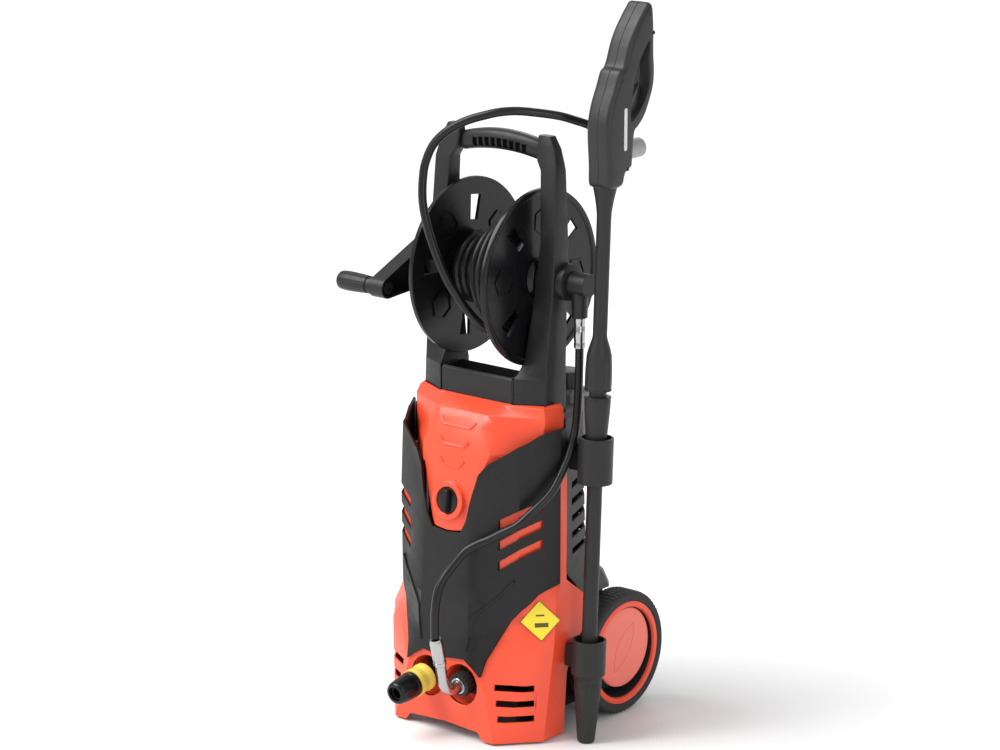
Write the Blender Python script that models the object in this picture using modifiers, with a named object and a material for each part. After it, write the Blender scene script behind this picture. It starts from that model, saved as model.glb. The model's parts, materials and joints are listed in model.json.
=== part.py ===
"""Electric pressure washer with a hose reel, modelled piece by piece.

Units are metres, +Z is up, +X is the machine's left-hand side seen from behind
(the side that carries the lance) and the front faces -Y.  Every piece is laid out
round the machine's own symmetry plane, with Y = 0 on the reel's axis, and hangs
from one empty that puts the middle of the machine's footprint at the origin.
"""
import math

import bmesh
import bpy
from mathutils import Matrix, Vector

GAP = 0.0003            # clearance between pieces that touch
WALL = 0.003            # moulded wall thickness
ROUND = 18              # sides of a small turned piece
BIG_ROUND = 30          # sides of a wheel or a reel flange

# Footprint: lowest and highest X and Y of everything but the mains cord
FOOTPRINT_X = (-0.2130, 0.2025)
FOOTPRINT_Y = (-0.2047, 0.1829)

# Wheels
WHEEL_R = 0.090
AXLE_Y = 0.0934
WHEEL_OUT = 0.1506
WHEEL_IN = 0.1090
AXLE_R = 0.006

# Hose reel
REEL_Z = 0.6456
FLANGE_R = 0.125
FLANGE_X = 0.0605
FLANGE_T = 0.006
FLANGE_WINDOWS = {"left": 82.5, "right": 40.0}      # angle of each flange's first window
CORE_R = 0.040
HOSE_D = 0.012
CRANK_EYE = (-0.1030, 0.6200)
CRANK_OUT = -0.1480
CRANK_IN = -0.1230
SWIVEL_X = 0.1350

# Lance, on its own slightly leaning axis
LANCE_X = 0.1780
LANCE_FOOT = (-0.0350, 0.0)
LANCE_TOP = (-0.0010, 0.790)

# Ports at the foot of the front
PORT_X = 0.0303
PORT_Z = 0.0775
PORT_R = 0.0294
INLET_AXIS = ((-0.0803, 0.0856), (-0.2030, 0.0688))
OUTLET_AXIS = ((-0.0803, 0.0848), (-0.1366, 0.0765))

# Switch in the hood
KNOB_Y = -0.1186
KNOB_Z = 0.3390
KNOB_R = 0.0180
KNOB_AXIS = (0.0, -0.9915, 0.1300)

# Mains cord, hanging in a hank on the left side
CORD_D = 0.007
HANK_Y = 0.0300
HANK_Z = 0.3300
HANK_X = (-0.1600, -0.1315)
PLUG = (-0.1720, 0.0880, 0.2150)

# Front cover, half plan outline (x, y) at each height: front edge, cheek crease,
# cheek middle, side edge, rear edge
FRONT_SECTIONS = (
    (0.003, (0.0900, -0.1340), (0.1140, -0.1070), (0.1270, -0.0925), (0.1380, -0.0800), (0.1380, -0.0340)),
    (0.092, (0.0670, -0.1315), (0.1230, -0.0990), (0.1330, -0.0840), (0.1420, -0.0700), (0.1400, -0.0300)),
    (0.135, (0.0470, -0.1290), (0.1270, -0.0950), (0.1370, -0.0815), (0.1460, -0.0680), (0.1430, -0.0180)),
    (0.150, (0.0440, -0.1280), (0.1140, -0.0966), (0.1300, -0.0830), (0.1470, -0.0680), (0.1450, 0.0020)),
    (0.176, (0.0425, -0.1275), (0.0950, -0.0990), (0.1200, -0.0764), (0.1410, -0.0574), (0.1420, 0.0180)),
    (0.200, (0.0420, -0.1265), (0.1020, -0.0955), (0.1157, -0.0700), (0.1355, -0.0485), (0.1370, 0.0100)),
    (0.225, (0.0420, -0.1255), (0.1030, -0.0950), (0.1175, -0.0660), (0.1300, -0.0385), (0.1300, -0.0190)),
    (0.340, (0.0420, -0.1215), (0.1050, -0.0940), (0.1175, -0.0660), (0.1300, -0.0380), (0.1300, -0.0190)),
    (0.470, (0.0420, -0.1165), (0.1020, -0.0910), (0.1170, -0.0640), (0.1300, -0.0380), (0.1300, -0.0190)),
)

# Hood, half plan outline (x, y) at each height: plate edge, cheek corner, rear corner
HOOD_SECTIONS = (
    (0.2940, 0.0180, -0.1245, (0.0240, -0.1225), (0.1120, -0.0560), (0.1200, -0.0200)),
    (0.3390, 0.0235, -0.1186, (0.0390, -0.1165), (0.1120, -0.0560), (0.1200, -0.0200)),
    (0.3900, 0.0260, -0.1135, (0.0545, -0.1110), (0.1130, -0.0550), (0.1210, -0.0200)),
    (0.4120, 0.0290, -0.1090, (0.0600, -0.1040), (0.1140, -0.0540), (0.1220, -0.0200)),
    (0.4470, 0.0360, -0.0990, (0.0610, -0.0870), (0.1160, -0.0530), (0.1240, -0.0200)),
    (0.4615, 0.0430, -0.0870, (0.0615, -0.0790), (0.1170, -0.0525), (0.1250, -0.0200)),
    (0.4740, 0.0500, -0.0640, (0.0620, -0.0660), (0.1120, -0.0500), (0.1225, -0.0200)),
)
HOOD_OUTLINE = ((0.0, 0.2965), (0.0250, 0.2995), (0.0340, 0.3160), (0.0410, 0.3450), (0.0510, 0.3850),
                (0.1270, 0.3880), (0.1270, 0.4800))

# Front panel, half front-view outline (x, z)
PANEL_TOP = ((0.0, 0.2955), (0.0258, 0.2985), (0.0350, 0.3157), (0.0420, 0.3448), (0.0522, 0.3845),
             (0.0640, 0.4002), (0.0830, 0.4130), (0.1104, 0.4327), (0.1211, 0.4429), (0.1400, 0.4520))
PANEL_FOOT = ((0.1400, 0.2300), (0.1183, 0.2113), (0.1088, 0.1942), (0.0952, 0.1763), (0.0887, 0.1608),
              (0.0706, 0.1197), (0.0665, 0.0965), (0.0560, 0.1050), (0.0370, 0.1165), (0.0200, 0.1150),
              (0.0, 0.1120))
PANEL_LIFT = 0.0038
PANEL_WALL = 0.0034
PANEL_SLOTS = ((0.2560, 0.2910), (0.2850, 0.3190), (0.3160, 0.3450))

# Rear housing, half plan outline (x, y) at each height: front edge, side, corner, back
REAR_SECTIONS = (
    (0.1900, (0.1300, 0.0160), (0.1300, 0.0780), (0.1180, 0.0940), (0.0, 0.1050)),
    (0.2120, (0.1300, 0.0020), (0.1300, 0.0660), (0.1150, 0.0840), (0.0, 0.0880)),
    (0.2320, (0.1290, -0.0170), (0.1260, 0.0500), (0.1090, 0.0640), (0.0, 0.0680)),
    (0.2700, (0.1280, -0.0170), (0.1220, 0.0330), (0.1050, 0.0500), (0.0, 0.0530)),
    (0.4560, (0.1260, -0.0170), (0.1180, 0.0300), (0.1000, 0.0450), (0.0, 0.0480)),
)
REAR_SLOT_Z = (0.264, 0.288, 0.312, 0.336, 0.360)

# Frame posts, (z, inner x, outer x, front y inside, front y outside, back y)
POST_SECTIONS = (
    (0.4618, 0.0655, 0.1100, -0.0600, -0.0430, 0.0040),
    (0.5120, 0.0655, 0.1095, -0.0600, -0.0410, 0.0040),
    (0.5190, 0.0672, 0.1095, -0.0520, -0.0406, 0.0040),
    (0.5350, 0.0690, 0.1095, -0.0400, -0.0400, 0.0040),
    (0.6200, 0.0780, 0.1110, -0.0310, -0.0310, 0.0040),
    (0.7000, 0.0850, 0.1120, -0.0260, -0.0260, 0.0050),
    (0.8000, 0.0800, 0.1080, -0.0200, -0.0200, 0.0040),
    (0.8120, 0.0715, 0.1055, -0.0170, -0.0170, 0.0035),
    (0.8300, 0.0690, 0.1005, -0.0140, -0.0140, 0.0030),
    (0.8460, 0.0700, 0.0925, -0.0120, -0.0120, 0.0010),
)

# Trigger gun, outlines (y, z) in its own plane
GUN_OUTLINE = ((0.0145, 0.7880), (0.0205, 0.8040), (0.0335, 0.8100), (0.0365, 0.8190), (0.0400, 0.8570),
               (0.0470, 0.8625), (0.0620, 0.8760), (0.0745, 0.8980), (0.0825, 0.9190), (0.0837, 0.9410),
               (0.0818, 0.9600), (0.0815, 0.9910), (0.0795, 1.0170), (0.0775, 1.0255), (0.0735, 1.0300),
               (0.0690, 1.0295), (0.0640, 1.0245), (0.0558, 1.0160), (0.0395, 0.9962), (0.0280, 0.9765),
               (0.0176, 0.9500), (0.0076, 0.9430), (-0.0012, 0.9238), (-0.0131, 0.8990), (-0.0190, 0.8760),
               (-0.0195, 0.8522), (-0.0165, 0.8175), (-0.0140, 0.7880))
GUN_WINDOW = ((0.0275, 0.8720), (0.0270, 0.8980), (0.0380, 0.9430), (0.0560, 0.9700), (0.0690, 0.9830),
              (0.0725, 0.9810), (0.0728, 0.9600), (0.0740, 0.9350), (0.0710, 0.9160), (0.0620, 0.8980),
              (0.0500, 0.8830), (0.0380, 0.8740))
GUN_HALF = 0.0200
TRIGGER_PIVOT = (0.0180, 0.8870)
LOCK_PIVOT = (0.0500, 0.9010)

# Routes of the hoses and the mains cord
GUN_HOSE_ROUTE = (
    (0.1530, 0.0550, 0.8340), (0.1430, 0.0520, 0.8385), (0.1320, 0.0475, 0.8475), (0.1185, 0.0400, 0.8585),
    (0.1035, 0.0270, 0.8655), (0.0909, 0.0100, 0.8723), (0.0736, -0.0120, 0.8775), (0.0538, -0.0350, 0.8812),
    (0.0362, -0.0520, 0.8801), (0.0187, -0.0650, 0.8752), (-0.0004, -0.0760, 0.8683), (-0.0168, -0.0840, 0.8593),
    (-0.0315, -0.0920, 0.8476), (-0.0444, -0.0980, 0.8318), (-0.0511, -0.1030, 0.8137), (-0.0541, -0.1070, 0.7944),
    (-0.0520, -0.1120, 0.7592), (-0.0423, -0.1150, 0.7261), (-0.0264, -0.1160, 0.6893), (-0.0101, -0.1100, 0.6499),
    (0.0064, -0.1000, 0.6196), (0.0178, -0.0860, 0.5960), (0.0257, -0.0720, 0.5800), (0.0300, -0.0600, 0.5720),
)
JUMPER_ROUTE = (
    (0.1350, 0.0000, 0.5560), (0.1350, -0.0005, 0.5316), (0.1360, -0.0028, 0.5009), (0.1380, -0.0075, 0.4693),
    (0.1400, -0.0142, 0.4425), (0.1420, -0.0266, 0.4183), (0.1425, -0.0410, 0.3966), (0.1395, -0.0620, 0.3680),
    (0.1340, -0.0770, 0.3530), (0.1260, -0.0950, 0.3380), (0.1155, -0.1078, 0.3234), (0.1031, -0.1139, 0.3148),
    (0.0922, -0.1192, 0.3083), (0.0770, -0.1267, 0.2983), (0.0672, -0.1330, 0.2931), (0.0583, -0.1400, 0.2874),
    (0.0501, -0.1470, 0.2797), (0.0433, -0.1550, 0.2675), (0.0364, -0.1630, 0.2543), (0.0330, -0.1710, 0.2440),
    (0.0312, -0.1785, 0.2316), (0.0308, -0.1840, 0.2150), (0.0305, -0.1870, 0.1923), (0.0303, -0.1866, 0.1615),
)
ELBOW_ROUTE = (
    (0.0303, -0.1330, 0.0770, 0.0092), (0.0303, -0.1450, 0.0756, 0.0085), (0.0303, -0.1560, 0.0768, 0.0078),
    (0.0303, -0.1648, 0.0832, 0.0075), (0.0303, -0.1695, 0.0925, 0.0075), (0.0303, -0.1722, 0.1040, 0.0075),
    (0.0303, -0.1750, 0.1195, 0.0078), (0.0303, -0.1757, 0.1220, 0.0092), (0.0303, -0.1855, 0.1565, 0.0092),
    (0.0303, -0.1860, 0.1600, 0.0080),
)
CORD_LEAD_ROUTE = (
    (-0.1505, 0.0220, 0.2070), (-0.1580, 0.0210, 0.2078), (-0.1680, 0.0170, 0.2112), (-0.1775, 0.0110, 0.2192),
    (-0.1835, 0.0060, 0.2310), (-0.1845, 0.0020, 0.2430), (-0.1815, 0.0005, 0.2550), (-0.1750, 0.0015, 0.2680),
    (-0.1690, 0.0045, 0.2800), (-0.1655, 0.0070, 0.2950), (-0.1640, 0.0090, 0.3120),
)
CORD_TAIL_ROUTE = (
    (-0.1460, 0.0723, 0.3450), (-0.1470, 0.0730, 0.3200), (-0.1510, 0.0755, 0.2920), (-0.1590, 0.0800, 0.2640),
    (-0.1670, 0.0845, 0.2420), (-0.1710, 0.0872, 0.2260), (-0.1720, 0.0880, 0.2165),
)


# ---------------------------------------------------------------- helpers

def clear_scene():
    for obj in list(bpy.data.objects):
        bpy.data.objects.remove(obj, do_unlink=True)


def new_collection(name):
    coll = bpy.data.collections.new(name)
    bpy.context.scene.collection.children.link(coll)
    return coll


clear_scene()
PARTS = new_collection("pressure_washer")
CUTTERS = new_collection("cutters")
FRAME = bpy.data.objects.new("machine_frame", None)
PARTS.objects.link(FRAME)
FRAME.location = (-sum(FOOTPRINT_X) / 2, -sum(FOOTPRINT_Y) / 2, 0.0)

FINISHES = {
    "orange_plastic": ((0.83, 0.10, 0.035), 0.38, 0.0),
    "black_plastic": ((0.030, 0.030, 0.030), 0.45, 0.0),
    "gloss_black_plastic": ((0.020, 0.020, 0.022), 0.25, 0.0),
    "grey_plastic": ((0.115, 0.108, 0.108), 0.50, 0.0),
    "hub_red_plastic": ((0.80, 0.17, 0.13), 0.42, 0.0),
    "tyre_rubber": ((0.060, 0.055, 0.058), 0.70, 0.0),
    "hose_rubber": ((0.022, 0.022, 0.022), 0.42, 0.0),
    "cord_rubber": ((0.028, 0.028, 0.028), 0.55, 0.0),
    "steel": ((0.62, 0.62, 0.62), 0.28, 1.0),
    "motor_steel": ((0.36, 0.37, 0.38), 0.45, 1.0),
    "pump_aluminium": ((0.60, 0.61, 0.62), 0.42, 1.0),
    "yellow_plastic": ((0.86, 0.68, 0.06), 0.42, 0.0),
    "tank_plastic": ((0.48, 0.49, 0.50), 0.25, 0.0),
    "gun_grey_plastic": ((0.16, 0.16, 0.16), 0.42, 0.0),
}


def finish(name):
    mat = bpy.data.materials.get(name)
    if mat is None:
        colour, rough, metal = FINISHES[name]
        mat = bpy.data.materials.new(name)
        mat.use_nodes = True
        shader = mat.node_tree.nodes["Principled BSDF"]
        shader.inputs["Base Color"].default_value = (*colour, 1.0)
        shader.inputs["Roughness"].default_value = rough
        shader.inputs["Metallic"].default_value = metal
    return mat


def keep(obj, finish_name=None):
    """Hang an object in the machine: a part when it has a finish, else a cutter."""
    for coll in list(obj.users_collection):
        coll.objects.unlink(obj)
    obj.parent = FRAME
    if finish_name is None:
        CUTTERS.objects.link(obj)
        obj.hide_render = True
        obj.display_type = "WIRE"
    else:
        PARTS.objects.link(obj)
        obj.data.materials.clear()
        obj.data.materials.append(finish(finish_name))
    return obj


def mesh_object(name, verts, faces, finish_name=None):
    mesh = bpy.data.meshes.new(name)
    mesh.from_pydata(verts, [], faces)
    mesh.update()
    return keep(bpy.data.objects.new(name, mesh), finish_name)


def bevel(obj, width, segments=1, angle=35):
    mod = obj.modifiers.new("edge", "BEVEL")
    mod.width = width
    mod.segments = segments
    mod.limit_method = "ANGLE"
    mod.angle_limit = math.radians(angle)
    return obj


def boolean(obj, other, operation):
    mod = obj.modifiers.new(operation.lower(), "BOOLEAN")
    mod.object = other
    mod.operation = operation
    mod.solver = "EXACT"
    return obj


def cut(obj, *cutters):
    for cutter in cutters:
        boolean(obj, cutter, "DIFFERENCE")
    return obj


def add(obj, *others):
    for other in others:
        boolean(obj, other, "UNION")
    return obj


def smooth(obj, angle=40):
    obj.data.shade_smooth()
    obj.data.set_sharp_from_angle(angle=math.radians(angle))
    return obj


def box(name, low, high, finish_name=None):
    mesh = bpy.data.meshes.new(name)
    bm = bmesh.new()
    bmesh.ops.create_cube(bm, size=1.0)
    size = Vector(high) - Vector(low)
    middle = (Vector(high) + Vector(low)) / 2
    bm.transform(Matrix.Translation(middle) @ Matrix.Diagonal((*size, 1.0)))
    bm.to_mesh(mesh)
    bm.free()
    return keep(bpy.data.objects.new(name, mesh), finish_name)


def axis_rotation(direction):
    """Rotation that takes +Z to a direction."""
    return Vector((0, 0, 1)).rotation_difference(Vector(direction).normalized()).to_euler()


def rod(name, start, end, radius, finish_name=None, sides=ROUND, end_radius=None):
    """Cylinder or cone from one point to another."""
    start, end = Vector(start), Vector(end)
    mesh = bpy.data.meshes.new(name)
    bm = bmesh.new()
    bmesh.ops.create_cone(bm, cap_ends=True, segments=sides, radius1=radius,
                          radius2=radius if end_radius is None else end_radius, depth=(end - start).length)
    bm.to_mesh(mesh)
    bm.free()
    obj = keep(bpy.data.objects.new(name, mesh), finish_name)
    obj.location = (start + end) / 2
    obj.rotation_euler = axis_rotation(end - start)
    return smooth(obj)


def turned(name, profile, origin, direction, finish_name=None, sides=ROUND, ring=False):
    """Screw a profile of (radius, height) points, top to bottom, round an axis."""
    mesh = bpy.data.meshes.new(name)
    verts = [(radius, 0.0, height) for radius, height in profile]
    edges = [(i, i + 1) for i in range(len(verts) - 1)]
    if ring:
        edges.append((len(verts) - 1, 0))
    mesh.from_pydata(verts, edges, [])
    obj = keep(bpy.data.objects.new(name, mesh), finish_name)
    screw = obj.modifiers.new("turn", "SCREW")
    screw.steps = sides
    screw.render_steps = sides
    screw.use_merge_vertices = True
    screw.merge_threshold = 0.00005
    screw.use_smooth_shade = False
    obj.location = origin
    obj.rotation_euler = axis_rotation(direction)
    return obj


def curve_mesh(name, curve, finish_name=None):
    """Turn a curve into a mesh with its caps welded on."""
    temp = bpy.data.objects.new(name + "_curve", curve)
    bpy.context.scene.collection.objects.link(temp)
    bpy.context.view_layer.update()
    graph = bpy.context.evaluated_depsgraph_get()
    mesh = bpy.data.meshes.new_from_object(temp.evaluated_get(graph))
    mesh.name = name
    bpy.data.objects.remove(temp, do_unlink=True)
    bm = bmesh.new()
    bm.from_mesh(mesh)
    bmesh.ops.remove_doubles(bm, verts=bm.verts, dist=0.00002)
    bm.to_mesh(mesh)
    bm.free()
    return keep(bpy.data.objects.new(name, mesh), finish_name)


def plate(name, outline, low, high, plane="XZ", finish_name=None, hole=None):
    """Flat outline with thickness. plane XZ spans low..high in Y, YZ spans it in X."""
    curve = bpy.data.curves.new(name, "CURVE")
    curve.dimensions = "2D"
    curve.fill_mode = "BOTH"
    curve.extrude = (high - low) / 2
    for points in (outline, hole):
        if points:
            spline = curve.splines.new("POLY")
            spline.points.add(len(points) - 1)
            for point, (a, b) in zip(spline.points, points):
                point.co = (a, b, 0.0, 1.0)
            spline.use_cyclic_u = True
    obj = curve_mesh(name, curve, finish_name)
    middle = (low + high) / 2
    if plane == "XZ":
        turn = Matrix(((1, 0, 0, 0), (0, 0, -1, middle), (0, 1, 0, 0), (0, 0, 0, 1)))
    elif plane == "YZ":
        turn = Matrix(((0, 0, 1, middle), (1, 0, 0, 0), (0, 1, 0, 0), (0, 0, 0, 1)))
    else:
        turn = Matrix.Translation((0, 0, middle))
    obj.data.transform(turn)
    return obj


def catmull_rom(points, step):
    """Points of a smooth curve through the given ones, about one step apart."""
    pts = [Vector(p) for p in points]
    padded = [2 * pts[0] - pts[1]] + pts + [2 * pts[-1] - pts[-2]]
    fine = []
    for a, b, c, d in zip(padded, padded[1:], padded[2:], padded[3:]):
        for i in range(16):
            t = i / 16
            fine.append(0.5 * (2 * b + (c - a) * t + (2 * a - 5 * b + 4 * c - d) * t * t
                               + (3 * b - a - 3 * c + d) * t ** 3))
    fine.append(pts[-1])
    length = sum((q - p).length for p, q in zip(fine, fine[1:]))
    count = max(2, round(length / step))
    out, walked, target = [fine[0]], 0.0, length / count
    for p, q in zip(fine, fine[1:]):
        span = (q - p).length
        while walked + span >= target - 1e-9 and len(out) < count:
            out.append(p.lerp(q, (target - walked) / span))
            target += length / count
        walked += span
    out.append(fine[-1])
    return out


def tube(name, points, diameter, finish_name, sides=3):
    """Round bar along a list of points, with flat ends."""
    curve = bpy.data.curves.new(name, "CURVE")
    curve.dimensions = "3D"
    curve.bevel_depth = diameter / 2
    curve.bevel_resolution = sides
    curve.use_fill_caps = True
    spline = curve.splines.new("POLY")
    spline.points.add(len(points) - 1)
    for point, place in zip(spline.points, points):
        point.co = (*place, 1.0)
    obj = keep(bpy.data.objects.new(name, curve), finish_name)
    return obj


def mirrored(points):
    """Half outline from the middle outwards, completed on the other side."""
    return [(-x, other) for x, other in reversed(points) if x > 1e-6] + list(points)


def skin(name, rows, finish_name=None):
    """Open sheet through rows of points, left to right and bottom to top."""
    width = len(rows[0])
    verts = [point for row in rows for point in row]
    faces = []
    for i in range(len(rows) - 1):
        for j in range(width - 1):
            a = i * width + j
            faces.append((a, a + 1, a + 1 + width, a + width))
    return mesh_object(name, verts, faces, finish_name)


def solid_loft(name, rings, finish_name=None):
    """Closed body through rings of points, bottom to top, each seen anticlockwise from above."""
    width = len(rings[0])
    verts = [point for ring in rings for point in ring]
    faces = [tuple(reversed(range(width)))]
    for i in range(len(rings) - 1):
        for j in range(width):
            a, b = i * width + j, i * width + (j + 1) % width
            faces.append((a, b, b + width, a + width))
    top = (len(rings) - 1) * width
    faces.append(tuple(range(top, top + width)))
    return mesh_object(name, verts, faces, finish_name)


def thicken(obj, thickness):
    """Give a sheet a wall on its inner side, split into triangles for the cuts that follow."""
    mod = obj.modifiers.new("wall", "SOLIDIFY")
    mod.thickness = thickness
    mod.offset = -1.0
    mod.use_even_offset = True
    obj.modifiers.new("split", "TRIANGULATE")
    return obj


def link_outline(start, start_radius, end, end_radius, sides=8):
    """Outline round two circles joined by straight edges, anticlockwise."""
    start, end = Vector(start), Vector(end)
    heading = math.atan2(end.y - start.y, end.x - start.x)
    lean = math.acos((start_radius - end_radius) / (end - start).length)
    outline = []
    for centre, radius, first, last in ((start, start_radius, heading + lean, heading + math.tau - lean),
                                        (end, end_radius, heading - lean, heading + lean)):
        for i in range(sides + 1):
            a = first + (last - first) * i / sides
            outline.append((centre.x + radius * math.cos(a), centre.y + radius * math.sin(a)))
    return outline


def pipe(name, route, finish_name, sides=12):
    """Closed round body along (x, y, z, radius) points that stay in one plane of constant x."""
    rings = []
    for i, (x, y, z, radius) in enumerate(route):
        before, after = route[max(i - 1, 0)], route[min(i + 1, len(route) - 1)]
        along = Vector((0.0, after[1] - before[1], after[2] - before[2])).normalized()
        across = along.cross(Vector((1, 0, 0)))
        ring = []
        for k in range(sides):
            a = math.tau * k / sides
            ring.append(Vector((x, y, z)) + radius * (Vector((1, 0, 0)) * math.cos(a) + across * math.sin(a)))
        rings.append(ring)
    return smooth(solid_loft(name, rings, finish_name), 50)


def inset(outline, distance):
    """Anticlockwise outline moved inwards."""
    moved = []
    for i, point in enumerate(outline):
        here, before, after = Vector(point), Vector(outline[i - 1]), Vector(outline[(i + 1) % len(outline)])
        n1 = Vector((before.y - here.y, here.x - before.x)).normalized()
        n2 = Vector((here.y - after.y, after.x - here.x)).normalized()
        normal = (n1 + n2).normalized()
        moved.append(tuple(here + normal * distance / max(0.6, normal.dot(n1))))
    return moved


def on_axis(x, axis, y):
    """Point of a line given by two (y, z) ends, at a y."""
    (y0, z0), (y1, z1) = axis
    return Vector((x, y, z0 + (z1 - z0) * (y - y0) / (y1 - y0)))


def on_lance(height, offset_y=0.0, offset_x=0.0):
    """Point of the lance's axis at a height, moved sideways if asked."""
    share = (height - LANCE_FOOT[1]) / (LANCE_TOP[1] - LANCE_FOOT[1])
    y = LANCE_FOOT[0] + share * (LANCE_TOP[0] - LANCE_FOOT[0])
    return Vector((LANCE_X + offset_x, y + offset_y, height))


LANCE_AXIS = (on_lance(LANCE_TOP[1]) - on_lance(LANCE_FOOT[1])).normalized()


# ---------------------------------------------------------------- casings

def front_rows(lift=0.0):
    """Rows of the front cover's outer surface, moved outwards by a lift."""
    rows = []
    for z, *half in FRONT_SECTIONS:
        half = [(0.0, half[0][1])] + list(half)
        moved = []
        for i, (x, y) in enumerate(half):
            before = half[i - 1] if i else (-half[1][0], half[1][1])
            after = half[min(i + 1, len(half) - 1)]
            n1 = Vector((y - before[1], -(x - before[0]))).normalized()
            n2 = Vector((after[1] - y, -(after[0] - x))).normalized() if i + 1 < len(half) else n1
            normal = (n1 + n2).normalized()
            reach = lift / max(0.5, normal.dot(n1))
            moved.append((x + normal.x * reach, y + normal.y * reach))
        moved[0] = (0.0, moved[0][1])
        rows.append([(x, y, z) for x, y in mirrored(moved)])
    return rows


def slot_cutter(name, side, ends, height, width, depth=(-0.2, -0.02)):
    """Slanted slot seen from the front: ends are (x, z) of its centre line."""
    (x0, z0), (x1, z1) = ends
    outline = [(x0, z0 - height / 2), (x1, z1 - height / 2), (x1 - width, z1 + height / 2),
               (x0 + width, z0 + height / 2)]
    outline = [(side * x, z) for x, z in outline]
    return plate(name, outline if side > 0 else outline[::-1], depth[0], depth[1])


def make_front_shell():
    shell = thicken(skin("front_shell", front_rows(), "orange_plastic"), WALL)
    notch = [(-0.0640, 0.2880), (0.0640, 0.2880), (0.0640, 0.4600), (-0.0640, 0.4600)]
    cut(shell, plate("cut_bezel_notch", notch, -0.2, -0.06),
        box("cut_shell_top", (-0.2, -0.2, 0.3830), (0.2, 0.1, 0.6)))
    arch = [(-0.088, -0.02), (0.088, -0.02), (0.062, 0.0140), (0.0, 0.0170), (-0.062, 0.0140)]
    cut(shell, plate("cut_front_arch", arch, -0.2, -0.1))
    for side in (-1, 1):
        port = rod(f"cut_port_{side}", (side * PORT_X, -0.2, PORT_Z), (side * PORT_X, -0.1, PORT_Z), PORT_R)
        cut(shell, port)
        for row, z in enumerate((0.0385, 0.0605, 0.0825)):
            inner = 0.0915 - 0.004 * row
            cut(shell, slot_cutter(f"cut_louvre_{side}_{row}", side, ((inner, z), (0.1303, z)), 0.0088, 0.0,
                                   (-0.16, -0.0883)))
    return shell


def make_port_cups():
    """The two round recesses behind the ports, one moulding."""
    cups = box("port_recess", (-0.0300, -0.1262, 0.0560), (0.0300, -0.0990, 0.0990), "orange_plastic")
    for x in (-PORT_X, PORT_X):
        add(cups, rod(f"cup_{x}", (x, -0.1264, PORT_Z), (x, -0.0992, PORT_Z), 0.0302))
    for x in (-PORT_X, PORT_X):
        cut(cups, rod(f"cut_cup_{x}", (x, -0.14, PORT_Z), (x, -0.1020, PORT_Z), 0.0286),
            rod(f"cut_cup_hole_{x}", (x, -0.14, 0.0825), (x, -0.08, 0.0825), 0.0130))
    return cups


def make_front_panel():
    panel = thicken(skin("front_panel", front_rows(PANEL_LIFT), "black_plastic"), PANEL_WALL)
    outline = mirrored(PANEL_TOP)
    outline = outline + [(x, z) for x, z in PANEL_FOOT] + [(-x, z) for x, z in reversed(PANEL_FOOT) if x > 1e-6]
    boolean(panel, plate("panel_outline", outline[::-1], -0.2, -0.0385), "INTERSECT")
    for side in (-1, 1):
        for row, (low, high) in enumerate(PANEL_SLOTS):
            cut(panel, slot_cutter(f"cut_panel_slot_{side}_{row}", side, ((0.080, low), (0.1225, high - 0.004)),
                                   0.013, 0.0, (-0.2, -0.045)))
    return panel


def make_top_hood():
    rows = []
    for z, inner, plate_y, edge, corner, rear in HOOD_SECTIONS:
        half = [(0.0, plate_y), (inner, plate_y), edge, corner, rear]
        rows.append([(x, y, z) for x, y in mirrored(half)])
    top_z = HOOD_SECTIONS[-1][0] + 0.0035
    rows.append([(x * 0.97, min(max(y + 0.005, -0.058), -0.021), top_z) for x, y, _ in rows[-1]])
    rows.append([(x, -0.0185, top_z) for x, _, _ in rows[-1]])
    hood = thicken(skin("top_hood", rows, "orange_plastic"), WALL)
    boolean(hood, plate("hood_outline", mirrored(HOOD_OUTLINE), -0.2, 0.05), "INTERSECT")
    middle, along = Vector((0, KNOB_Y, KNOB_Z)), Vector(KNOB_AXIS)
    add(hood, rod("hood_bezel", middle - along * 0.010, middle + along * 0.0045, 0.0275, sides=32))
    cut(hood, rod("cut_bezel", middle - along * 0.03, middle + along * 0.03, KNOB_R + 0.0012, sides=32),
        plate("cut_frame_foot", [(-0.1104, -0.0434), (-0.0660, -0.0604), (0.0660, -0.0604), (0.1104, -0.0434),
                                 (0.1104, 0.02), (-0.1104, 0.02)], 0.440, 0.500, "XY"))
    return hood


def make_rear_housing():
    rows = []
    for z, *half in REAR_SECTIONS:
        side = [(x, y, z) for x, y in half]
        rows.append(side + [(-x, y, z) for x, y, _ in reversed(side[:-1])])
    top_z = REAR_SECTIONS[-1][0]
    rows.append([(x * 0.96, -0.0170 + (y + 0.0170) * 0.90, top_z + 0.005) for x, y, _ in rows[-1]])
    rows.append([(x, -0.0170, top_z + 0.005) for x, _, _ in rows[-1]])
    rear = thicken(skin("rear_housing", rows, "grey_plastic"), WALL)
    for side in (-1, 1):
        for row, z in enumerate(REAR_SLOT_Z):
            slot = [(-0.002, z - 0.008), (0.070, z + 0.010), (0.070, z + 0.019), (-0.002, z + 0.001)]
            low, high = sorted((side * 0.098, side * 0.150))
            cut(rear, plate(f"cut_rear_slot_{side}_{row}", slot, low, high, "YZ"))
    for side in (-1, 1):
        low, high = sorted((side * 0.0985, side * 0.1285))
        add(rear, box(f"wheel_arch_{side}", (low, 0.0170, 0.1888), (high, 0.0800, 0.1920)))
    return add(rear, box("tank_shelf", (-0.0750, 0.0450, 0.3260), (0.0750, 0.1000, 0.3340)))


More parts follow.
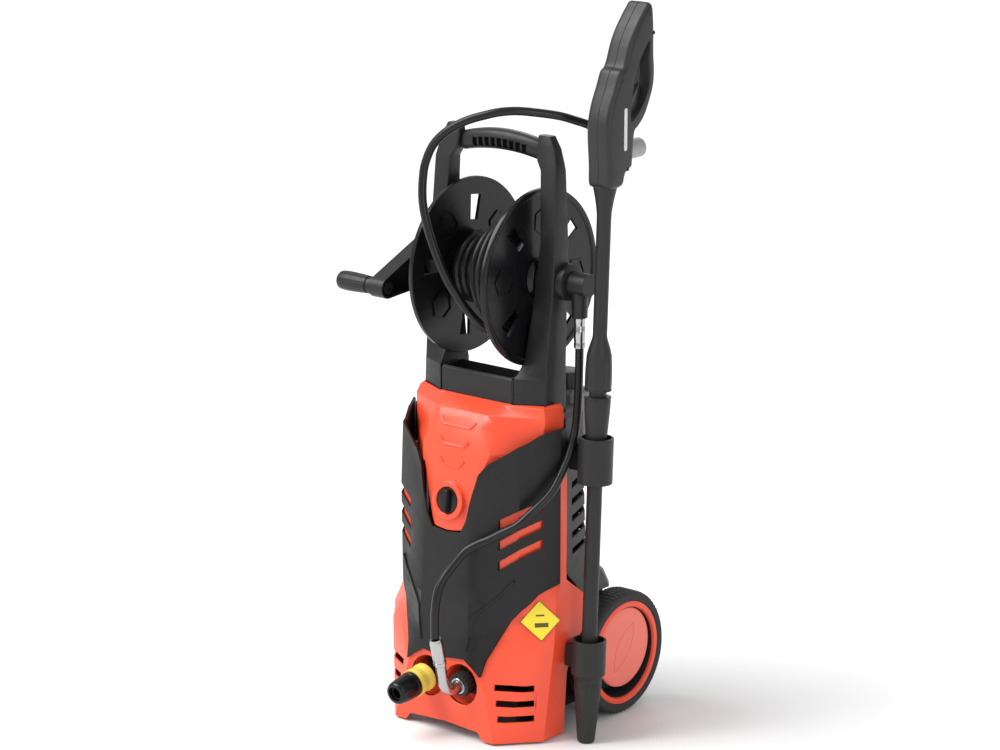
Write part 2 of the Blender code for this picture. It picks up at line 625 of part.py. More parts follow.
def make_base_tray():
    tray = box("base_tray", (-0.0980, -0.0900, 0.0180), (0.0980, 0.1050, 0.1870), "black_plastic")
    room = box("cut_tray_room", (-0.0940, -0.0860, 0.0220), (0.0940, 0.1010, 0.2))
    bore = rod("cut_axle_bore", (-0.2, AXLE_Y, WHEEL_R), (0.2, AXLE_Y, WHEEL_R), AXLE_R + GAP)
    front = box("cut_tray_front", (-0.2, -0.2, 0.0700), (0.2, -0.0200, 0.2))
    return cut(tray, room, front, bore)


def make_feet():
    for side, label in ((-1, "left"), (1, "right")):
        turned(f"front_foot_{label}", [(0, 0.0175), (0.011, 0.0175), (0.013, 0.002), (0.012, 0.0), (0, 0.0)],
               (side * 0.075, -0.0780, 0.0), (0, 0, 1), "tyre_rubber", 16)


# ---------------------------------------------------------------- wheels

def make_wheels():
    rod("axle", (-0.1400, AXLE_Y, WHEEL_R), (0.1400, AXLE_Y, WHEEL_R), AXLE_R, "steel", 16)
    for side, label in ((-1, "left"), (1, "right")):
        centre, out = (side * WHEEL_IN, AXLE_Y, WHEEL_R), (side, 0, 0)
        width = WHEEL_OUT - WHEEL_IN
        tread = [(0.0860, width), (WHEEL_R, width - 0.004), (WHEEL_R, 0.004), (0.0860, 0.0),
                 (0.0755, 0.0), (0.0755, width)]
        turned(f"tyre_{label}", tread, centre, out, "tyre_rubber", BIG_ROUND, ring=True)
        rim = [(0.0750, width - 0.001), (0.0750, 0.0020), (0.0120, 0.0020), (0.0120, -0.0060),
               (AXLE_R + GAP, -0.0060), (AXLE_R + GAP, 0.0300), (0.0120, 0.0300), (0.0120, 0.0080),
               (0.0640, 0.0080), (0.0700, width - 0.001)]
        turned(f"rim_{label}", rim, centre, out, "orange_plastic", BIG_ROUND, ring=True)
        cap = [(0.0, width - 0.004), (0.0560, width - 0.004), (0.0585, width - 0.006), (0.0585, width - 0.008),
               (0.0, width - 0.008)]
        lifted = (centre[0], AXLE_Y, WHEEL_R + 0.0075)
        turned(f"hub_disc_{label}", cap, lifted, out, "hub_red_plastic", BIG_ROUND)


# ---------------------------------------------------------------- frame and reel

def make_posts():
    for side, label in ((1, "right"), (-1, "left")):
        rings = []
        for z, inner, outer, front_in, front_out, back in POST_SECTIONS:
            ring = [(inner, front_in, z), (outer, front_out, z), (outer, back, z), (inner, back, z)]
            if side < 0:
                ring = [(-x, y, zz) for x, y, zz in reversed(ring)]
            rings.append(ring)
        post = solid_loft(f"post_{label}", rings, "black_plastic")
        boss = rod(f"boss_{label}", (side * 0.0765, 0, REEL_Z), (side * 0.1225, 0, REEL_Z), 0.0260, sides=20)
        bore = rod(f"cut_boss_{label}", (side * 0.05, 0, REEL_Z), (side * 0.2, 0, REEL_Z), 0.0105)
        bevel(post, 0.0035, 1, 60)
        add(post, boss)
        cut(post, bore)


def make_cross_tray():
    tray = box("cross_tray", (-0.0652, -0.0600, 0.4660), (0.0652, -0.0150, 0.5120), "black_plastic")
    bevel(tray, 0.003)
    return cut(tray, box("cut_tray_trough", (-0.0600, -0.0560, 0.4750), (0.0600, -0.0195, 0.6)))


def make_grip():
    rings = []
    for x, z, half_y, half_z in ((-0.0655, 0.8230, 0.0120, 0.0140), (-0.0330, 0.8290, 0.0135, 0.0145),
                                 (0.0, 0.8310, 0.0140, 0.0145), (0.0330, 0.8290, 0.0135, 0.0145),
                                 (0.0655, 0.8230, 0.0120, 0.0140)):
        ring = []
        for i in range(12):
            a = math.tau * i / 12
            ring.append((x, 0.0030 + half_y * math.cos(a), z + half_z * math.sin(a)))
        rings.append(ring)
    return smooth(solid_loft("handle_grip", rings, "black_plastic"), 60)


def flange(label, side):
    face = FLANGE_X
    profile = [(FLANGE_R - 0.002, FLANGE_T), (FLANGE_R, FLANGE_T - 0.002), (FLANGE_R, 0.0), (0.0110, 0.0),
               (0.0110, 0.0130), (0.0260, 0.0130), (0.0300, FLANGE_T)]
    obj = turned(f"reel_flange_{label}", profile, (side * face, 0, REEL_Z), (side, 0, 0),
                 "gloss_black_plastic", BIG_ROUND, ring=True)
    for i in range(4):
        a = math.radians(FLANGE_WINDOWS[label] + 90 * i)
        window = []
        for radius, spread in ((0.064, 0.12), (0.064, -0.12), (0.100, -0.11), (0.100, 0.11)):
            window.append((radius * math.cos(a + spread), REEL_Z + radius * math.sin(a + spread)))
        low, high = sorted((side * 0.05, side * 0.09))
        cut(obj, plate(f"cut_flange_{label}_{i}", window, low, high, "YZ"))
    return obj


def make_reel():
    flange("left", -1)
    flange("right", 1)
    inner = FLANGE_X - GAP
    core = [(CORE_R, inner), (CORE_R, -inner), (0.0110, -inner), (0.0110, inner)]
    turned("reel_core", core, (0, 0, REEL_Z), (1, 0, 0), "black_plastic", ROUND, ring=True)
    rod("reel_shaft", (-0.1400, 0, REEL_Z), (0.1290, 0, REEL_Z), 0.0100, "steel", 16)
    wound = [(0.0525, 0.0), (0.0525, -0.0580), (CORE_R + GAP, -0.0580), (CORE_R + GAP, 0.0580), (0.0885, 0.0580),
             (0.0885, 0.0)]
    turned("hose_winding", wound, (0, 0, REEL_Z), (1, 0, 0), "hose_rubber", 32, ring=True)


def make_crank():
    eye_y, eye_z = CRANK_EYE
    hub, eye = (0.0, REEL_Z), CRANK_EYE
    arm = plate("crank_arm", link_outline(hub, 0.0330, eye, 0.0150), CRANK_OUT, CRANK_IN, "YZ", "black_plastic")
    room = plate("cut_crank_room", link_outline(hub, 0.0300, eye, 0.0120), CRANK_OUT + 0.0040, -0.1, "YZ")
    cut(room, rod("cut_crank_boss", (-0.2, 0, REEL_Z), (0, 0, REEL_Z), 0.0160, sides=20),
        rod("cut_crank_eye_boss", (-0.2, eye_y, eye_z), (0, eye_y, eye_z), 0.0090, sides=20))
    cut(arm, room)
    add(arm, rod("crank_collar", (-0.1505, eye_y, eye_z), (CRANK_OUT + 0.003, eye_y, eye_z), 0.0140, sides=20))
    cut(arm, rod("cut_crank_hub", (-0.2, 0, REEL_Z), (0, 0, REEL_Z), 0.0100 + GAP),
        rod("cut_crank_eye", (-0.2, eye_y, eye_z), (-0.1, eye_y, eye_z), 0.0050 + GAP))
    knob = [(0.0, 0.0622), (0.0085, 0.0622), (0.0125, 0.0595), (0.0138, 0.0540), (0.0142, 0.0360), (0.0128, 0.0120),
            (0.0118, 0.0), (0.0050, 0.0), (0.0050, -0.0260), (0.0, -0.0260)]
    turned("crank_knob", knob, (-0.1508, eye_y, eye_z), (-1, 0, 0), "black_plastic", 20)


def make_swivel():
    body = rod("swivel_elbow", (0.1228, 0, REEL_Z), (0.1520, 0, REEL_Z), 0.0165, "black_plastic", 20)
    leg = rod("swivel_leg", (SWIVEL_X, 0, REEL_Z), (SWIVEL_X, 0, 0.5990), 0.0120, sides=20, end_radius=0.0110)
    add(body, leg)
    cut(body, rod("cut_swivel", (0.1, 0, REEL_Z), (0.1295, 0, REEL_Z), 0.0100 + GAP))
    turned("reel_ferrule", [(0, 0.0427), (0.0076, 0.0427), (0.0080, 0.0400), (0.0080, 0.0), (0, 0)],
           (SWIVEL_X, 0, 0.5560 + GAP), (0, 0, 1), "steel", 16)


# ---------------------------------------------------------------- lance and gun

def make_lance():
    def turn(name, profile, finish_name, sides=ROUND):
        points = [(r, h) for r, h in profile]
        return turned(name, points, on_lance(0.0), LANCE_AXIS, finish_name, sides)

    turn("spray_nozzle", [(0, 0.1035), (0.0140, 0.1035), (0.0195, 0.0990), (0.0195, 0.0900), (0.0175, 0.0620),
                          (0.0122, 0.0030), (0.0110, 0.0010), (0, 0.0010)], "black_plastic")
    turn("nozzle_lance", [(0, 0.4980), (0.0180, 0.4980), (0.0182, 0.4900), (0.0150, 0.4400), (0.0125, 0.4000),
                          (0.0108, 0.3800), (0.0108, 0.1038), (0, 0.1038)], "black_plastic")
    turn("extension_lance", [(0, 0.7900), (0.0165, 0.7900), (0.0165, 0.7870), (0.0100, 0.7500), (0.0100, 0.5800),
                             (0.0150, 0.5640), (0.0180, 0.5450), (0.0186, 0.5100), (0.0170, 0.5060), (0.0115, 0.5060),
                             (0.0115, 0.4983), (0, 0.4983)], "black_plastic")


def make_lance_holders():
    """Ring and cup on the body's side that the lance stands in."""
    def holder(name, low, high, outer, block):
        profile = [(outer, high), (outer, low), (0.0150, low), (0.0150, high)]
        body = turned(name, profile, on_lance(0.0), LANCE_AXIS, "black_plastic", ROUND, ring=True)
        add(body, block)
        return cut(body, rod(f"cut_{name}", on_lance(low - 0.05), on_lance(high + 0.05), 0.0210))

    arm = solid_loft("ring_arm", [[(0.1271, -0.0160, z), (0.1600, -0.0160, z), (0.1600, 0.0060, z),
                                   (0.1236, 0.0060, z)] for z in (0.3850, 0.4250)])
    holder("lance_ring", 0.3750, 0.4400, 0.0245, arm)
    foot = solid_loft("cup_arm", [[(x, -0.0420, z), (0.1600, -0.0420, z), (0.1600, -0.0200, z), (x, -0.0200, z)]
                                  for x, z in ((0.1448, 0.1080), (0.1472, 0.1400))])
    holder("lance_cup", 0.1000, 0.1500, 0.0240, foot)


def make_gun():
    slim = inset(GUN_OUTLINE, 0.0050)
    for side, label in ((-1, "left"), (1, "right")):
        rings = [[(LANCE_X + side * x, y, z) for y, z in outline] for x, outline in
                 ((GAP / 2, GUN_OUTLINE), (GUN_HALF - 0.0070, GUN_OUTLINE), (GUN_HALF, slim))]
        half = solid_loft(f"gun_shell_{label}", rings[::side], "gun_grey_plastic")
        half.modifiers.new("split", "TRIANGULATE")
        cut(half, plate(f"cut_gun_window_{label}", GUN_WINDOW, 0.14, 0.22, "YZ"))
        room = [(0.0050, 0.8760), (0.0400, 0.8680), (0.0400, 0.9120), (0.0200, 0.9080), (0.0080, 0.9000)]
        low, high = sorted((LANCE_X - side * 0.002, LANCE_X + side * 0.0078))
        cut(half, plate(f"cut_gun_room_{label}", room, low, high, "YZ"),
            rod(f"cut_gun_socket_{label}", on_lance(0.7), on_lance(0.7903), 0.0168))
    trigger = [(0.0110, 0.8830), (0.0200, 0.8790), (0.0320, 0.8830), (0.0450, 0.8950), (0.0530, 0.9110),
               (0.0560, 0.9300), (0.0540, 0.9420), (0.0480, 0.9460), (0.0470, 0.9300), (0.0420, 0.9140),
               (0.0320, 0.9010), (0.0200, 0.8950), (0.0120, 0.8930)]
    blade = plate("trigger", trigger, LANCE_X - 0.0070, LANCE_X + 0.0070, "YZ", "black_plastic")
    slot = [(0.0480, 0.8900), (0.0620, 0.8900), (0.0620, 0.9250), (0.0560, 0.9250), (0.0440, 0.9080)]
    cut(blade, plate("cut_trigger_slot", slot, LANCE_X - 0.0026, LANCE_X + 0.0026, "YZ"))
    lock = link_outline(LOCK_PIVOT, 0.0034, (LOCK_PIVOT[0] + 0.0150, LOCK_PIVOT[1] + 0.0180), 0.0030, 5)
    plate("trigger_lock", lock, LANCE_X - 0.0022, LANCE_X + 0.0022, "YZ", "gun_grey_plastic")
    inlet = rod("gun_inlet", (LANCE_X, 0.0402, 0.8310), (LANCE_X, 0.0730, 0.8310), 0.0135, "gun_grey_plastic", 16)
    start = Vector((LANCE_X, 0.0610, 0.8310))
    add(inlet, rod("inlet_branch", start, start.lerp(Vector(GUN_HOSE_ROUTE[0]), 0.85), 0.0098, sides=16))


# ---------------------------------------------------------------- water, motor and mains

def make_inlet():
    """Water inlet with its quick connector; the collar slides on the connector's body."""
    tip, along = Vector((-PORT_X, *INLET_AXIS[1])), Vector((0.0, INLET_AXIS[0][0] - INLET_AXIS[1][0],
                                                            INLET_AXIS[0][1] - INLET_AXIS[1][1])).normalized()
    turned("water_inlet", [(0, 0.1221), (0.0105, 0.1221), (0.0105, 0.0800), (0, 0.0800)], tip, along,
           "black_plastic", 20)
    body = [(0.0, 0.0780), (0.0109, 0.0780), (0.0109, 0.0915), (0.0142, 0.0915), (0.0142, 0.0386), (0.0188, 0.0386),
            (0.0186, 0.0320), (0.0174, 0.0100), (0.0158, 0.0030), (0.0128, 0.0), (0.0085, 0.0), (0.0085, 0.0200),
            (0.0, 0.0200)]
    turned("connector_body", body, tip, along, "black_plastic", ROUND)
    collar = [(0.0190, 0.0668), (0.0203, 0.0640), (0.0203, 0.0420), (0.0196, 0.0390), (0.0145, 0.0390),
              (0.0145, 0.0668)]
    turned("connector_collar", collar, tip, along, "yellow_plastic", ROUND, ring=True)


def make_outlet():
    start, end = on_axis(PORT_X, OUTLET_AXIS, -0.0822), on_axis(PORT_X, OUTLET_AXIS, -0.1310)
    rod("outlet_stub", start, end, 0.0095, "black_plastic", 16)
    back, front = on_axis(PORT_X, OUTLET_AXIS, -0.1165), on_axis(PORT_X, OUTLET_AXIS, -0.1370)
    nut = rod("outlet_nut", back, front, 0.0175, "black_plastic", 18)
    cut(nut, rod("cut_nut", start, on_axis(PORT_X, OUTLET_AXIS, -0.2), 0.0098))
    pipe("outlet_elbow", ELBOW_ROUTE, "steel")


def make_switch():
    middle, along = Vector((0, KNOB_Y, KNOB_Z)), Vector(KNOB_AXIS)
    knob = rod("switch_knob", middle - along * 0.0120, middle + along * 0.0050, KNOB_R, "gloss_black_plastic", 28)
    bar = box("knob_bar", (-0.0050, -0.0165, -0.0020), (0.0050, 0.0165, 0.0120))
    bar.location = middle + along * 0.0010
    bar.rotation_euler = (Matrix.Rotation(math.radians(90 - 7.47), 3, "X")).to_euler()
    add(knob, bar, rod("knob_shaft", middle - along * 0.0290, middle, 0.0040, sides=12))
    box("power_switch", (-0.0160, -0.0880, 0.3200), (0.0160, -0.0620, 0.3520), "black_plastic")


def make_power_unit():
    head = box("pump_head", (-0.0450, -0.0800, 0.0223), (0.0450, -0.0300, 0.1250), "pump_aluminium")
    bevel(head, 0.0040)
    add(head, rod("pump_housing", (0, -0.0150, 0.1000), (0, -0.0150, 0.1880), 0.0450))
    can = [(0.0470, 0.1400), (0.0470, 0.0), (0.0430, 0.0), (0.0430, 0.1400)]
    turned("motor_can", can, (0, -0.0150, 0.1883), (0, 0, 1), "motor_steel", 28, ring=True)
    rotor = [(0.0, 0.1800), (0.0050, 0.1800), (0.0050, 0.1700), (0.0400, 0.1700), (0.0400, 0.1560), (0.0060, 0.1560),
             (0.0060, 0.1250), (0.0250, 0.1250), (0.0250, 0.0200), (0.0060, 0.0200), (0.0060, 0.0003), (0.0, 0.0003)]
    turned("motor_rotor", rotor, (0, -0.0150, 0.1883), (0, 0, 1), "steel", 20)


def make_tank():
    tank = box("detergent_tank", (-0.0820, 0.0550, 0.3343), (0.0820, 0.1000, 0.4720), "tank_plastic")
    bevel(tank, 0.0060)
    neck = rod("tank_neck", (0.0500, 0.0770, 0.4600), (0.0500, 0.0770, 0.4860), 0.0170, sides=20)
    add(tank, neck)
    cut(tank, rod("cut_tank_neck", (0.0500, 0.0770, 0.3500), (0.0500, 0.0770, 0.5), 0.0140, sides=20),
        box("cut_tank_room", (-0.0780, 0.0590, 0.3390), (0.0780, 0.0960, 0.4680)))
    cap = [(0.0, 0.0240), (0.0180, 0.0240), (0.0220, 0.0210), (0.0230, 0.0), (0.0173, 0.0), (0.0173, 0.0190),
           (0.0, 0.0190)]
    turned("tank_cap", cap, (0.0500, 0.0770, 0.4723), (0, 0, 1), "black_plastic", 20)


def make_mains():
    gland = [(0.0, 0.0193), (0.0050, 0.0193), (0.0085, 0.0), (0.0, 0.0)]
    start = Vector(CORD_LEAD_ROUTE[0])
    turned("cord_gland", gland, (start.x + 0.0203, start.y, start.z), (-1, 0, 0), "cord_rubber", 16)
    tube("mains_cord", catmull_rom(CORD_LEAD_ROUTE, 0.012), CORD_D, "cord_rubber", 2)
    tube("mains_tail", catmull_rom(CORD_TAIL_ROUTE, 0.018), CORD_D, "cord_rubber", 2)
    ends = []
    for radius in (0.0385, 0.0175):
        ring = []
        for k, middle_z in ((0, HANK_Z + 0.0550), (1, HANK_Z - 0.0550)):
            for i in range(9):
                a = math.pi * (k + i / 8)
                ring.append((HANK_Y + radius * math.cos(a), middle_z + radius * math.sin(a)))
        ends.append(ring)
    plate("mains_hank", ends[0], HANK_X[0], HANK_X[1], "YZ", "cord_rubber", hole=ends[1])
    x, y, z = PLUG
    plug = rod("mains_plug", (x, y, z - 0.0450), (x, y, z), 0.0170, "cord_rubber", 20, end_radius=0.0110)
    for side in (-1, 1):
        add(plug, rod(f"pin_{side}", (x, y + side * 0.0095, z - 0.0630), (x, y + side * 0.0095, z - 0.0400), 0.0024,
                      sides=8))
    for label, side in (("upper", 1), ("lower", -1)):
        middle = HANK_Z + side * 0.0550
        hook = rod(f"cord_hook_{label}", (-0.1250, HANK_Y, middle), (-0.1670, HANK_Y, middle), 0.0168,
                   "black_plastic", 16)
        low, high = sorted((middle, middle + side * 0.0420))
        add(hook, box(f"hook_lip_{label}", (-0.1670, HANK_Y - 0.0120, low), (-0.1610, HANK_Y + 0.0120, high)))


def main():
    make_front_shell()
    make_port_cups()
    make_front_panel()
    make_top_hood()
    make_rear_housing()
    make_base_tray()
    make_feet()
    make_wheels()
    make_posts()
    make_cross_tray()
    make_grip()
    make_reel()
    make_crank()
    make_swivel()
    make_lance()
    make_lance_holders()
    make_gun()
    make_inlet()
    make_outlet()
    make_switch()
    make_power_unit()
    make_tank()
    make_mains()
    tube("gun_hose", catmull_rom(GUN_HOSE_ROUTE, 0.030), HOSE_D, "hose_rubber")
    tube("jumper_hose", catmull_rom(JUMPER_ROUTE, 0.030), HOSE_D, "hose_rubber")


main()
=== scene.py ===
import json
import math

import bmesh
import bpy
from mathutils import Matrix, Vector

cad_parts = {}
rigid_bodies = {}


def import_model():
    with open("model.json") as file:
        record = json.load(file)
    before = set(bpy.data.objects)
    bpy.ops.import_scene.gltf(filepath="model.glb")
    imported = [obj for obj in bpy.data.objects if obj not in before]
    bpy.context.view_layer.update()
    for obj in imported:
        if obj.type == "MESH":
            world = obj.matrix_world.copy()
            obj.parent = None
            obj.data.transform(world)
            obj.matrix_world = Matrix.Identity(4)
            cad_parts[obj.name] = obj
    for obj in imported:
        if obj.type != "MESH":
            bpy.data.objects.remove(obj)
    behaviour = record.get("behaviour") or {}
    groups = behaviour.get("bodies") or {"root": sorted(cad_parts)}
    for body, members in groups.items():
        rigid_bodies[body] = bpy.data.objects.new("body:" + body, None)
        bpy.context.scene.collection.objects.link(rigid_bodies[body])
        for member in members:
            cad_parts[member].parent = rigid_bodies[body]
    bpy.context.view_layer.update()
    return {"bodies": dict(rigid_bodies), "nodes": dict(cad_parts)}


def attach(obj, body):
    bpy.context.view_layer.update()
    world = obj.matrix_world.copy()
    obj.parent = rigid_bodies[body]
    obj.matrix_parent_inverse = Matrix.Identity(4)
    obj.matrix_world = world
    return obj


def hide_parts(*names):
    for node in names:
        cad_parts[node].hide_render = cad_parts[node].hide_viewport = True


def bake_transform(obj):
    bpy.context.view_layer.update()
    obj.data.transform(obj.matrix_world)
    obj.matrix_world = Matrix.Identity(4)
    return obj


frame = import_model()

# Machine axes: X = 0 is the plane of symmetry, Y = 0 the reel's axis, +X the lance's side, the front faces -Y
ORIGIN = Vector((0.00525, 0.0109, 0.0))
BODY_OF = {node: name for name, empty in frame["bodies"].items()
           for node, obj in frame["nodes"].items() if obj.parent is empty}

REEL_Z = 0.6456
HOSE_D = 0.012
CORD_D = 0.007
AXLE = (0.0934, 0.0900)
WHEEL_IN = 0.1090
PORT_X, PORT_Z = 0.0303, 0.0775
KNOB = Vector((0.0, -0.1186, 0.3390))
KNOB_OUT = Vector((0.0, -0.9915, 0.1300))
LANCE_X = 0.1780
LANCE_LOW = Vector((LANCE_X, -0.0350, 0.0))
LANCE_UP = (Vector((LANCE_X, -0.0010, 0.790)) - LANCE_LOW).normalized()
HANK_Y, HANK_Z, HANK_HALF = 0.0300, 0.3300, 0.055
HANK_TURNS = 11.36
GRIP_Z, GRIP_RISE, GRIP_HALF = 0.8228, 0.0082, 0.068
FLANGE_WINDOWS = {"left": 82.5, "right": 40.0}
PLUG = Vector((-0.1720, 0.0880, 0.2150))

GUN_HOSE_ROUTE = (
    (0.1530, 0.0550, 0.8340), (0.1430, 0.0520, 0.8385), (0.1320, 0.0475, 0.8475), (0.1185, 0.0400, 0.8585),
    (0.1035, 0.0270, 0.8655), (0.0909, 0.0100, 0.8723), (0.0736, -0.0120, 0.8775), (0.0538, -0.0350, 0.8812),
    (0.0362, -0.0520, 0.8801), (0.0187, -0.0650, 0.8752), (-0.0004, -0.0760, 0.8683), (-0.0168, -0.0840, 0.8593),
    (-0.0315, -0.0920, 0.8476), (-0.0444, -0.0980, 0.8318), (-0.0511, -0.1030, 0.8137), (-0.0541, -0.1070, 0.7944),
    (-0.0520, -0.1120, 0.7592), (-0.0423, -0.1150, 0.7261), (-0.0264, -0.1160, 0.6893), (-0.0101, -0.1100, 0.6499),
    (0.0064, -0.1000, 0.6196), (0.0178, -0.0860, 0.5960), (0.0257, -0.0720, 0.5800), (0.0300, -0.0600, 0.5720),
)
JUMPER_ROUTE = (
    (0.1350, 0.0000, 0.5560), (0.1350, -0.0005, 0.5316), (0.1360, -0.0028, 0.5009), (0.1380, -0.0075, 0.4693),
    (0.1400, -0.0142, 0.4425), (0.1420, -0.0266, 0.4183), (0.1425, -0.0410, 0.3966), (0.1395, -0.0620, 0.3680),
    (0.1340, -0.0770, 0.3530), (0.1260, -0.0950, 0.3380), (0.1155, -0.1078, 0.3234), (0.1031, -0.1139, 0.3148),
    (0.0922, -0.1192, 0.3083), (0.0770, -0.1267, 0.2983), (0.0672, -0.1330, 0.2931), (0.0583, -0.1400, 0.2874),
    (0.0501, -0.1470, 0.2797), (0.0433, -0.1550, 0.2675), (0.0364, -0.1630, 0.2543), (0.0330, -0.1710, 0.2440),
    (0.0312, -0.1785, 0.2316), (0.0308, -0.1840, 0.2150), (0.0305, -0.1870, 0.1923), (0.0303, -0.1866, 0.1615),
)
ELBOW_ROUTE = (
    (0.0303, -0.1330, 0.0770, 0.0092), (0.0303, -0.1450, 0.0756, 0.0085), (0.0303, -0.1560, 0.0768, 0.0078),
    (0.0303, -0.1648, 0.0832, 0.0075), (0.0303, -0.1695, 0.0925, 0.0075), (0.0303, -0.1722, 0.1040, 0.0075),
    (0.0303, -0.1750, 0.1195, 0.0075),
)
CORD_LEAD_ROUTE = (
    (-0.1505, 0.0220, 0.2070), (-0.1580, 0.0210, 0.2078), (-0.1680, 0.0170, 0.2112), (-0.1775, 0.0110, 0.2192),
    (-0.1835, 0.0060, 0.2310), (-0.1845, 0.0020, 0.2430), (-0.1815, 0.0005, 0.2550), (-0.1750, 0.0015, 0.2680),
    (-0.1690, 0.0045, 0.2800), (-0.1655, 0.0070, 0.2950), (-0.1640, 0.0090, 0.3120),
)
CORD_TAIL_ROUTE = (
    (-0.1460, 0.0723, 0.3450), (-0.1470, 0.0730, 0.3200), (-0.1510, 0.0755, 0.2920), (-0.1590, 0.0800, 0.2640),
    (-0.1670, 0.0845, 0.2420), (-0.1710, 0.0872, 0.2260), (-0.1720, 0.0880, 0.2165),
)

FRONT_SECTIONS = (
    (0.003, (0.0900, -0.1340), (0.1140, -0.1070), (0.1270, -0.0925), (0.1380, -0.0800), (0.1380, -0.0340)),
    (0.092, (0.0670, -0.1315), (0.1230, -0.0990), (0.1330, -0.0840), (0.1420, -0.0700), (0.1400, -0.0300)),
    (0.135, (0.0470, -0.1290), (0.1270, -0.0950), (0.1370, -0.0815), (0.1460, -0.0680), (0.1430, -0.0180)),
    (0.150, (0.0440, -0.1280), (0.1140, -0.0966), (0.1300, -0.0830), (0.1470, -0.0680), (0.1450, 0.0020)),
    (0.176, (0.0425, -0.1275), (0.0950, -0.0990), (0.1200, -0.0764), (0.1410, -0.0574), (0.1420, 0.0180)),
    (0.200, (0.0420, -0.1265), (0.1020, -0.0955), (0.1157, -0.0700), (0.1355, -0.0485), (0.1370, 0.0100)),
    (0.225, (0.0420, -0.1255), (0.1030, -0.0950), (0.1175, -0.0660), (0.1300, -0.0385), (0.1300, -0.0190)),
    (0.340, (0.0420, -0.1215), (0.1050, -0.0940), (0.1175, -0.0660), (0.1300, -0.0380), (0.1300, -0.0190)),
    (0.470, (0.0420, -0.1165), (0.1020, -0.0910), (0.1170, -0.0640), (0.1300, -0.0380), (0.1300, -0.0190)),
)
HOOD_SECTIONS = (
    (0.2940, 0.0180, -0.1245, (0.0240, -0.1225), (0.1120, -0.0560)),
    (0.3390, 0.0235, -0.1186, (0.0390, -0.1165), (0.1120, -0.0560)),
    (0.3900, 0.0260, -0.1135, (0.0545, -0.1110), (0.1130, -0.0550)),
    (0.4120, 0.0290, -0.1090, (0.0600, -0.1040), (0.1140, -0.0540)),
    (0.4470, 0.0360, -0.0990, (0.0610, -0.0870), (0.1160, -0.0530)),
    (0.4615, 0.0430, -0.0870, (0.0615, -0.0790), (0.1170, -0.0525)),
)
POST_SECTIONS = (
    (0.4618, 0.0655, 0.1100, -0.0600, -0.0430, 0.0040),
    (0.5120, 0.0655, 0.1095, -0.0600, -0.0410, 0.0040),
    (0.5190, 0.0672, 0.1095, -0.0520, -0.0406, 0.0040),
    (0.5350, 0.0690, 0.1095, -0.0400, -0.0400, 0.0040),
    (0.6200, 0.0780, 0.1110, -0.0310, -0.0310, 0.0040),
    (0.7000, 0.0850, 0.1120, -0.0260, -0.0260, 0.0050),
    (0.8000, 0.0800, 0.1080, -0.0200, -0.0200, 0.0040),
    (0.8120, 0.0715, 0.1055, -0.0170, -0.0170, 0.0035),
    (0.8300, 0.0690, 0.1005, -0.0140, -0.0140, 0.0030),
    (0.8460, 0.0700, 0.0925, -0.0120, -0.0120, 0.0010),
)
GUN_OUTLINE = ((0.0145, 0.7880), (0.0205, 0.8040), (0.0335, 0.8100), (0.0365, 0.8190), (0.0400, 0.8570),
               (0.0470, 0.8625), (0.0620, 0.8760), (0.0745, 0.8980), (0.0825, 0.9190), (0.0837, 0.9410),
               (0.0818, 0.9600), (0.0815, 0.9910), (0.0795, 1.0170), (0.0775, 1.0255), (0.0735, 1.0300),
               (0.0690, 1.0295), (0.0640, 1.0245), (0.0558, 1.0160), (0.0395, 0.9962), (0.0280, 0.9765),
               (0.0176, 0.9500), (0.0076, 0.9430), (-0.0012, 0.9238), (-0.0131, 0.8990), (-0.0190, 0.8760),
               (-0.0195, 0.8522), (-0.0165, 0.8175), (-0.0140, 0.7880))
GUN_WINDOW = ((0.0275, 0.8720), (0.0270, 0.8980), (0.0380, 0.9430), (0.0560, 0.9700), (0.0690, 0.9830),
              (0.0725, 0.9810), (0.0728, 0.9600), (0.0740, 0.9350), (0.0710, 0.9160), (0.0620, 0.8980),
              (0.0500, 0.8830), (0.0380, 0.8740))


# ---- materials

def surface(name, colour, rough, metal=0.0, mottle=0.06, grain=1800.0, relief=0.10, spread=0.06):
    """Moulded or metal finish: faint colour drift, uneven gloss and a fine grain."""
    mat = bpy.data.materials.new(name)
    mat.use_nodes = True
    nodes, links = mat.node_tree.nodes, mat.node_tree.links
    shader = nodes["Principled BSDF"]
    shader.inputs["Metallic"].default_value = metal
    shader.inputs["Specular IOR Level"].default_value = 0.5 if metal or max(colour) > 0.2 else 0.32
    place = nodes.new("ShaderNodeTexCoord")

    def noise(size, detail):
        node = nodes.new("ShaderNodeTexNoise")
        node.inputs["Scale"].default_value = size
        node.inputs["Detail"].default_value = detail
        links.new(place.outputs["Object"], node.inputs["Vector"])
        return node.outputs["Fac"]

    ramp = nodes.new("ShaderNodeValToRGB")
    ramp.color_ramp.elements[0].position, ramp.color_ramp.elements[1].position = 0.3, 0.7
    ramp.color_ramp.elements[0].color = (*[c * (1 - mottle) for c in colour], 1)
    ramp.color_ramp.elements[1].color = (*[min(1, c * (1 + mottle)) for c in colour], 1)
    links.new(noise(14, 3), ramp.inputs["Fac"])
    links.new(ramp.outputs["Color"], shader.inputs["Base Color"])
    gloss = nodes.new("ShaderNodeMapRange")
    gloss.inputs["From Min"].default_value, gloss.inputs["From Max"].default_value = 0.3, 0.7
    gloss.inputs["To Min"].default_value, gloss.inputs["To Max"].default_value = rough - spread, rough + spread
    links.new(noise(90, 4), gloss.inputs["Value"])
    links.new(gloss.outputs["Result"], shader.inputs["Roughness"])
    bump = nodes.new("ShaderNodeBump")
    bump.inputs["Strength"].default_value = relief
    bump.inputs["Distance"].default_value = 0.0004
    links.new(noise(grain, 2), bump.inputs["Height"])
    links.new(bump.outputs["Normal"], shader.inputs["Normal"])
    return mat


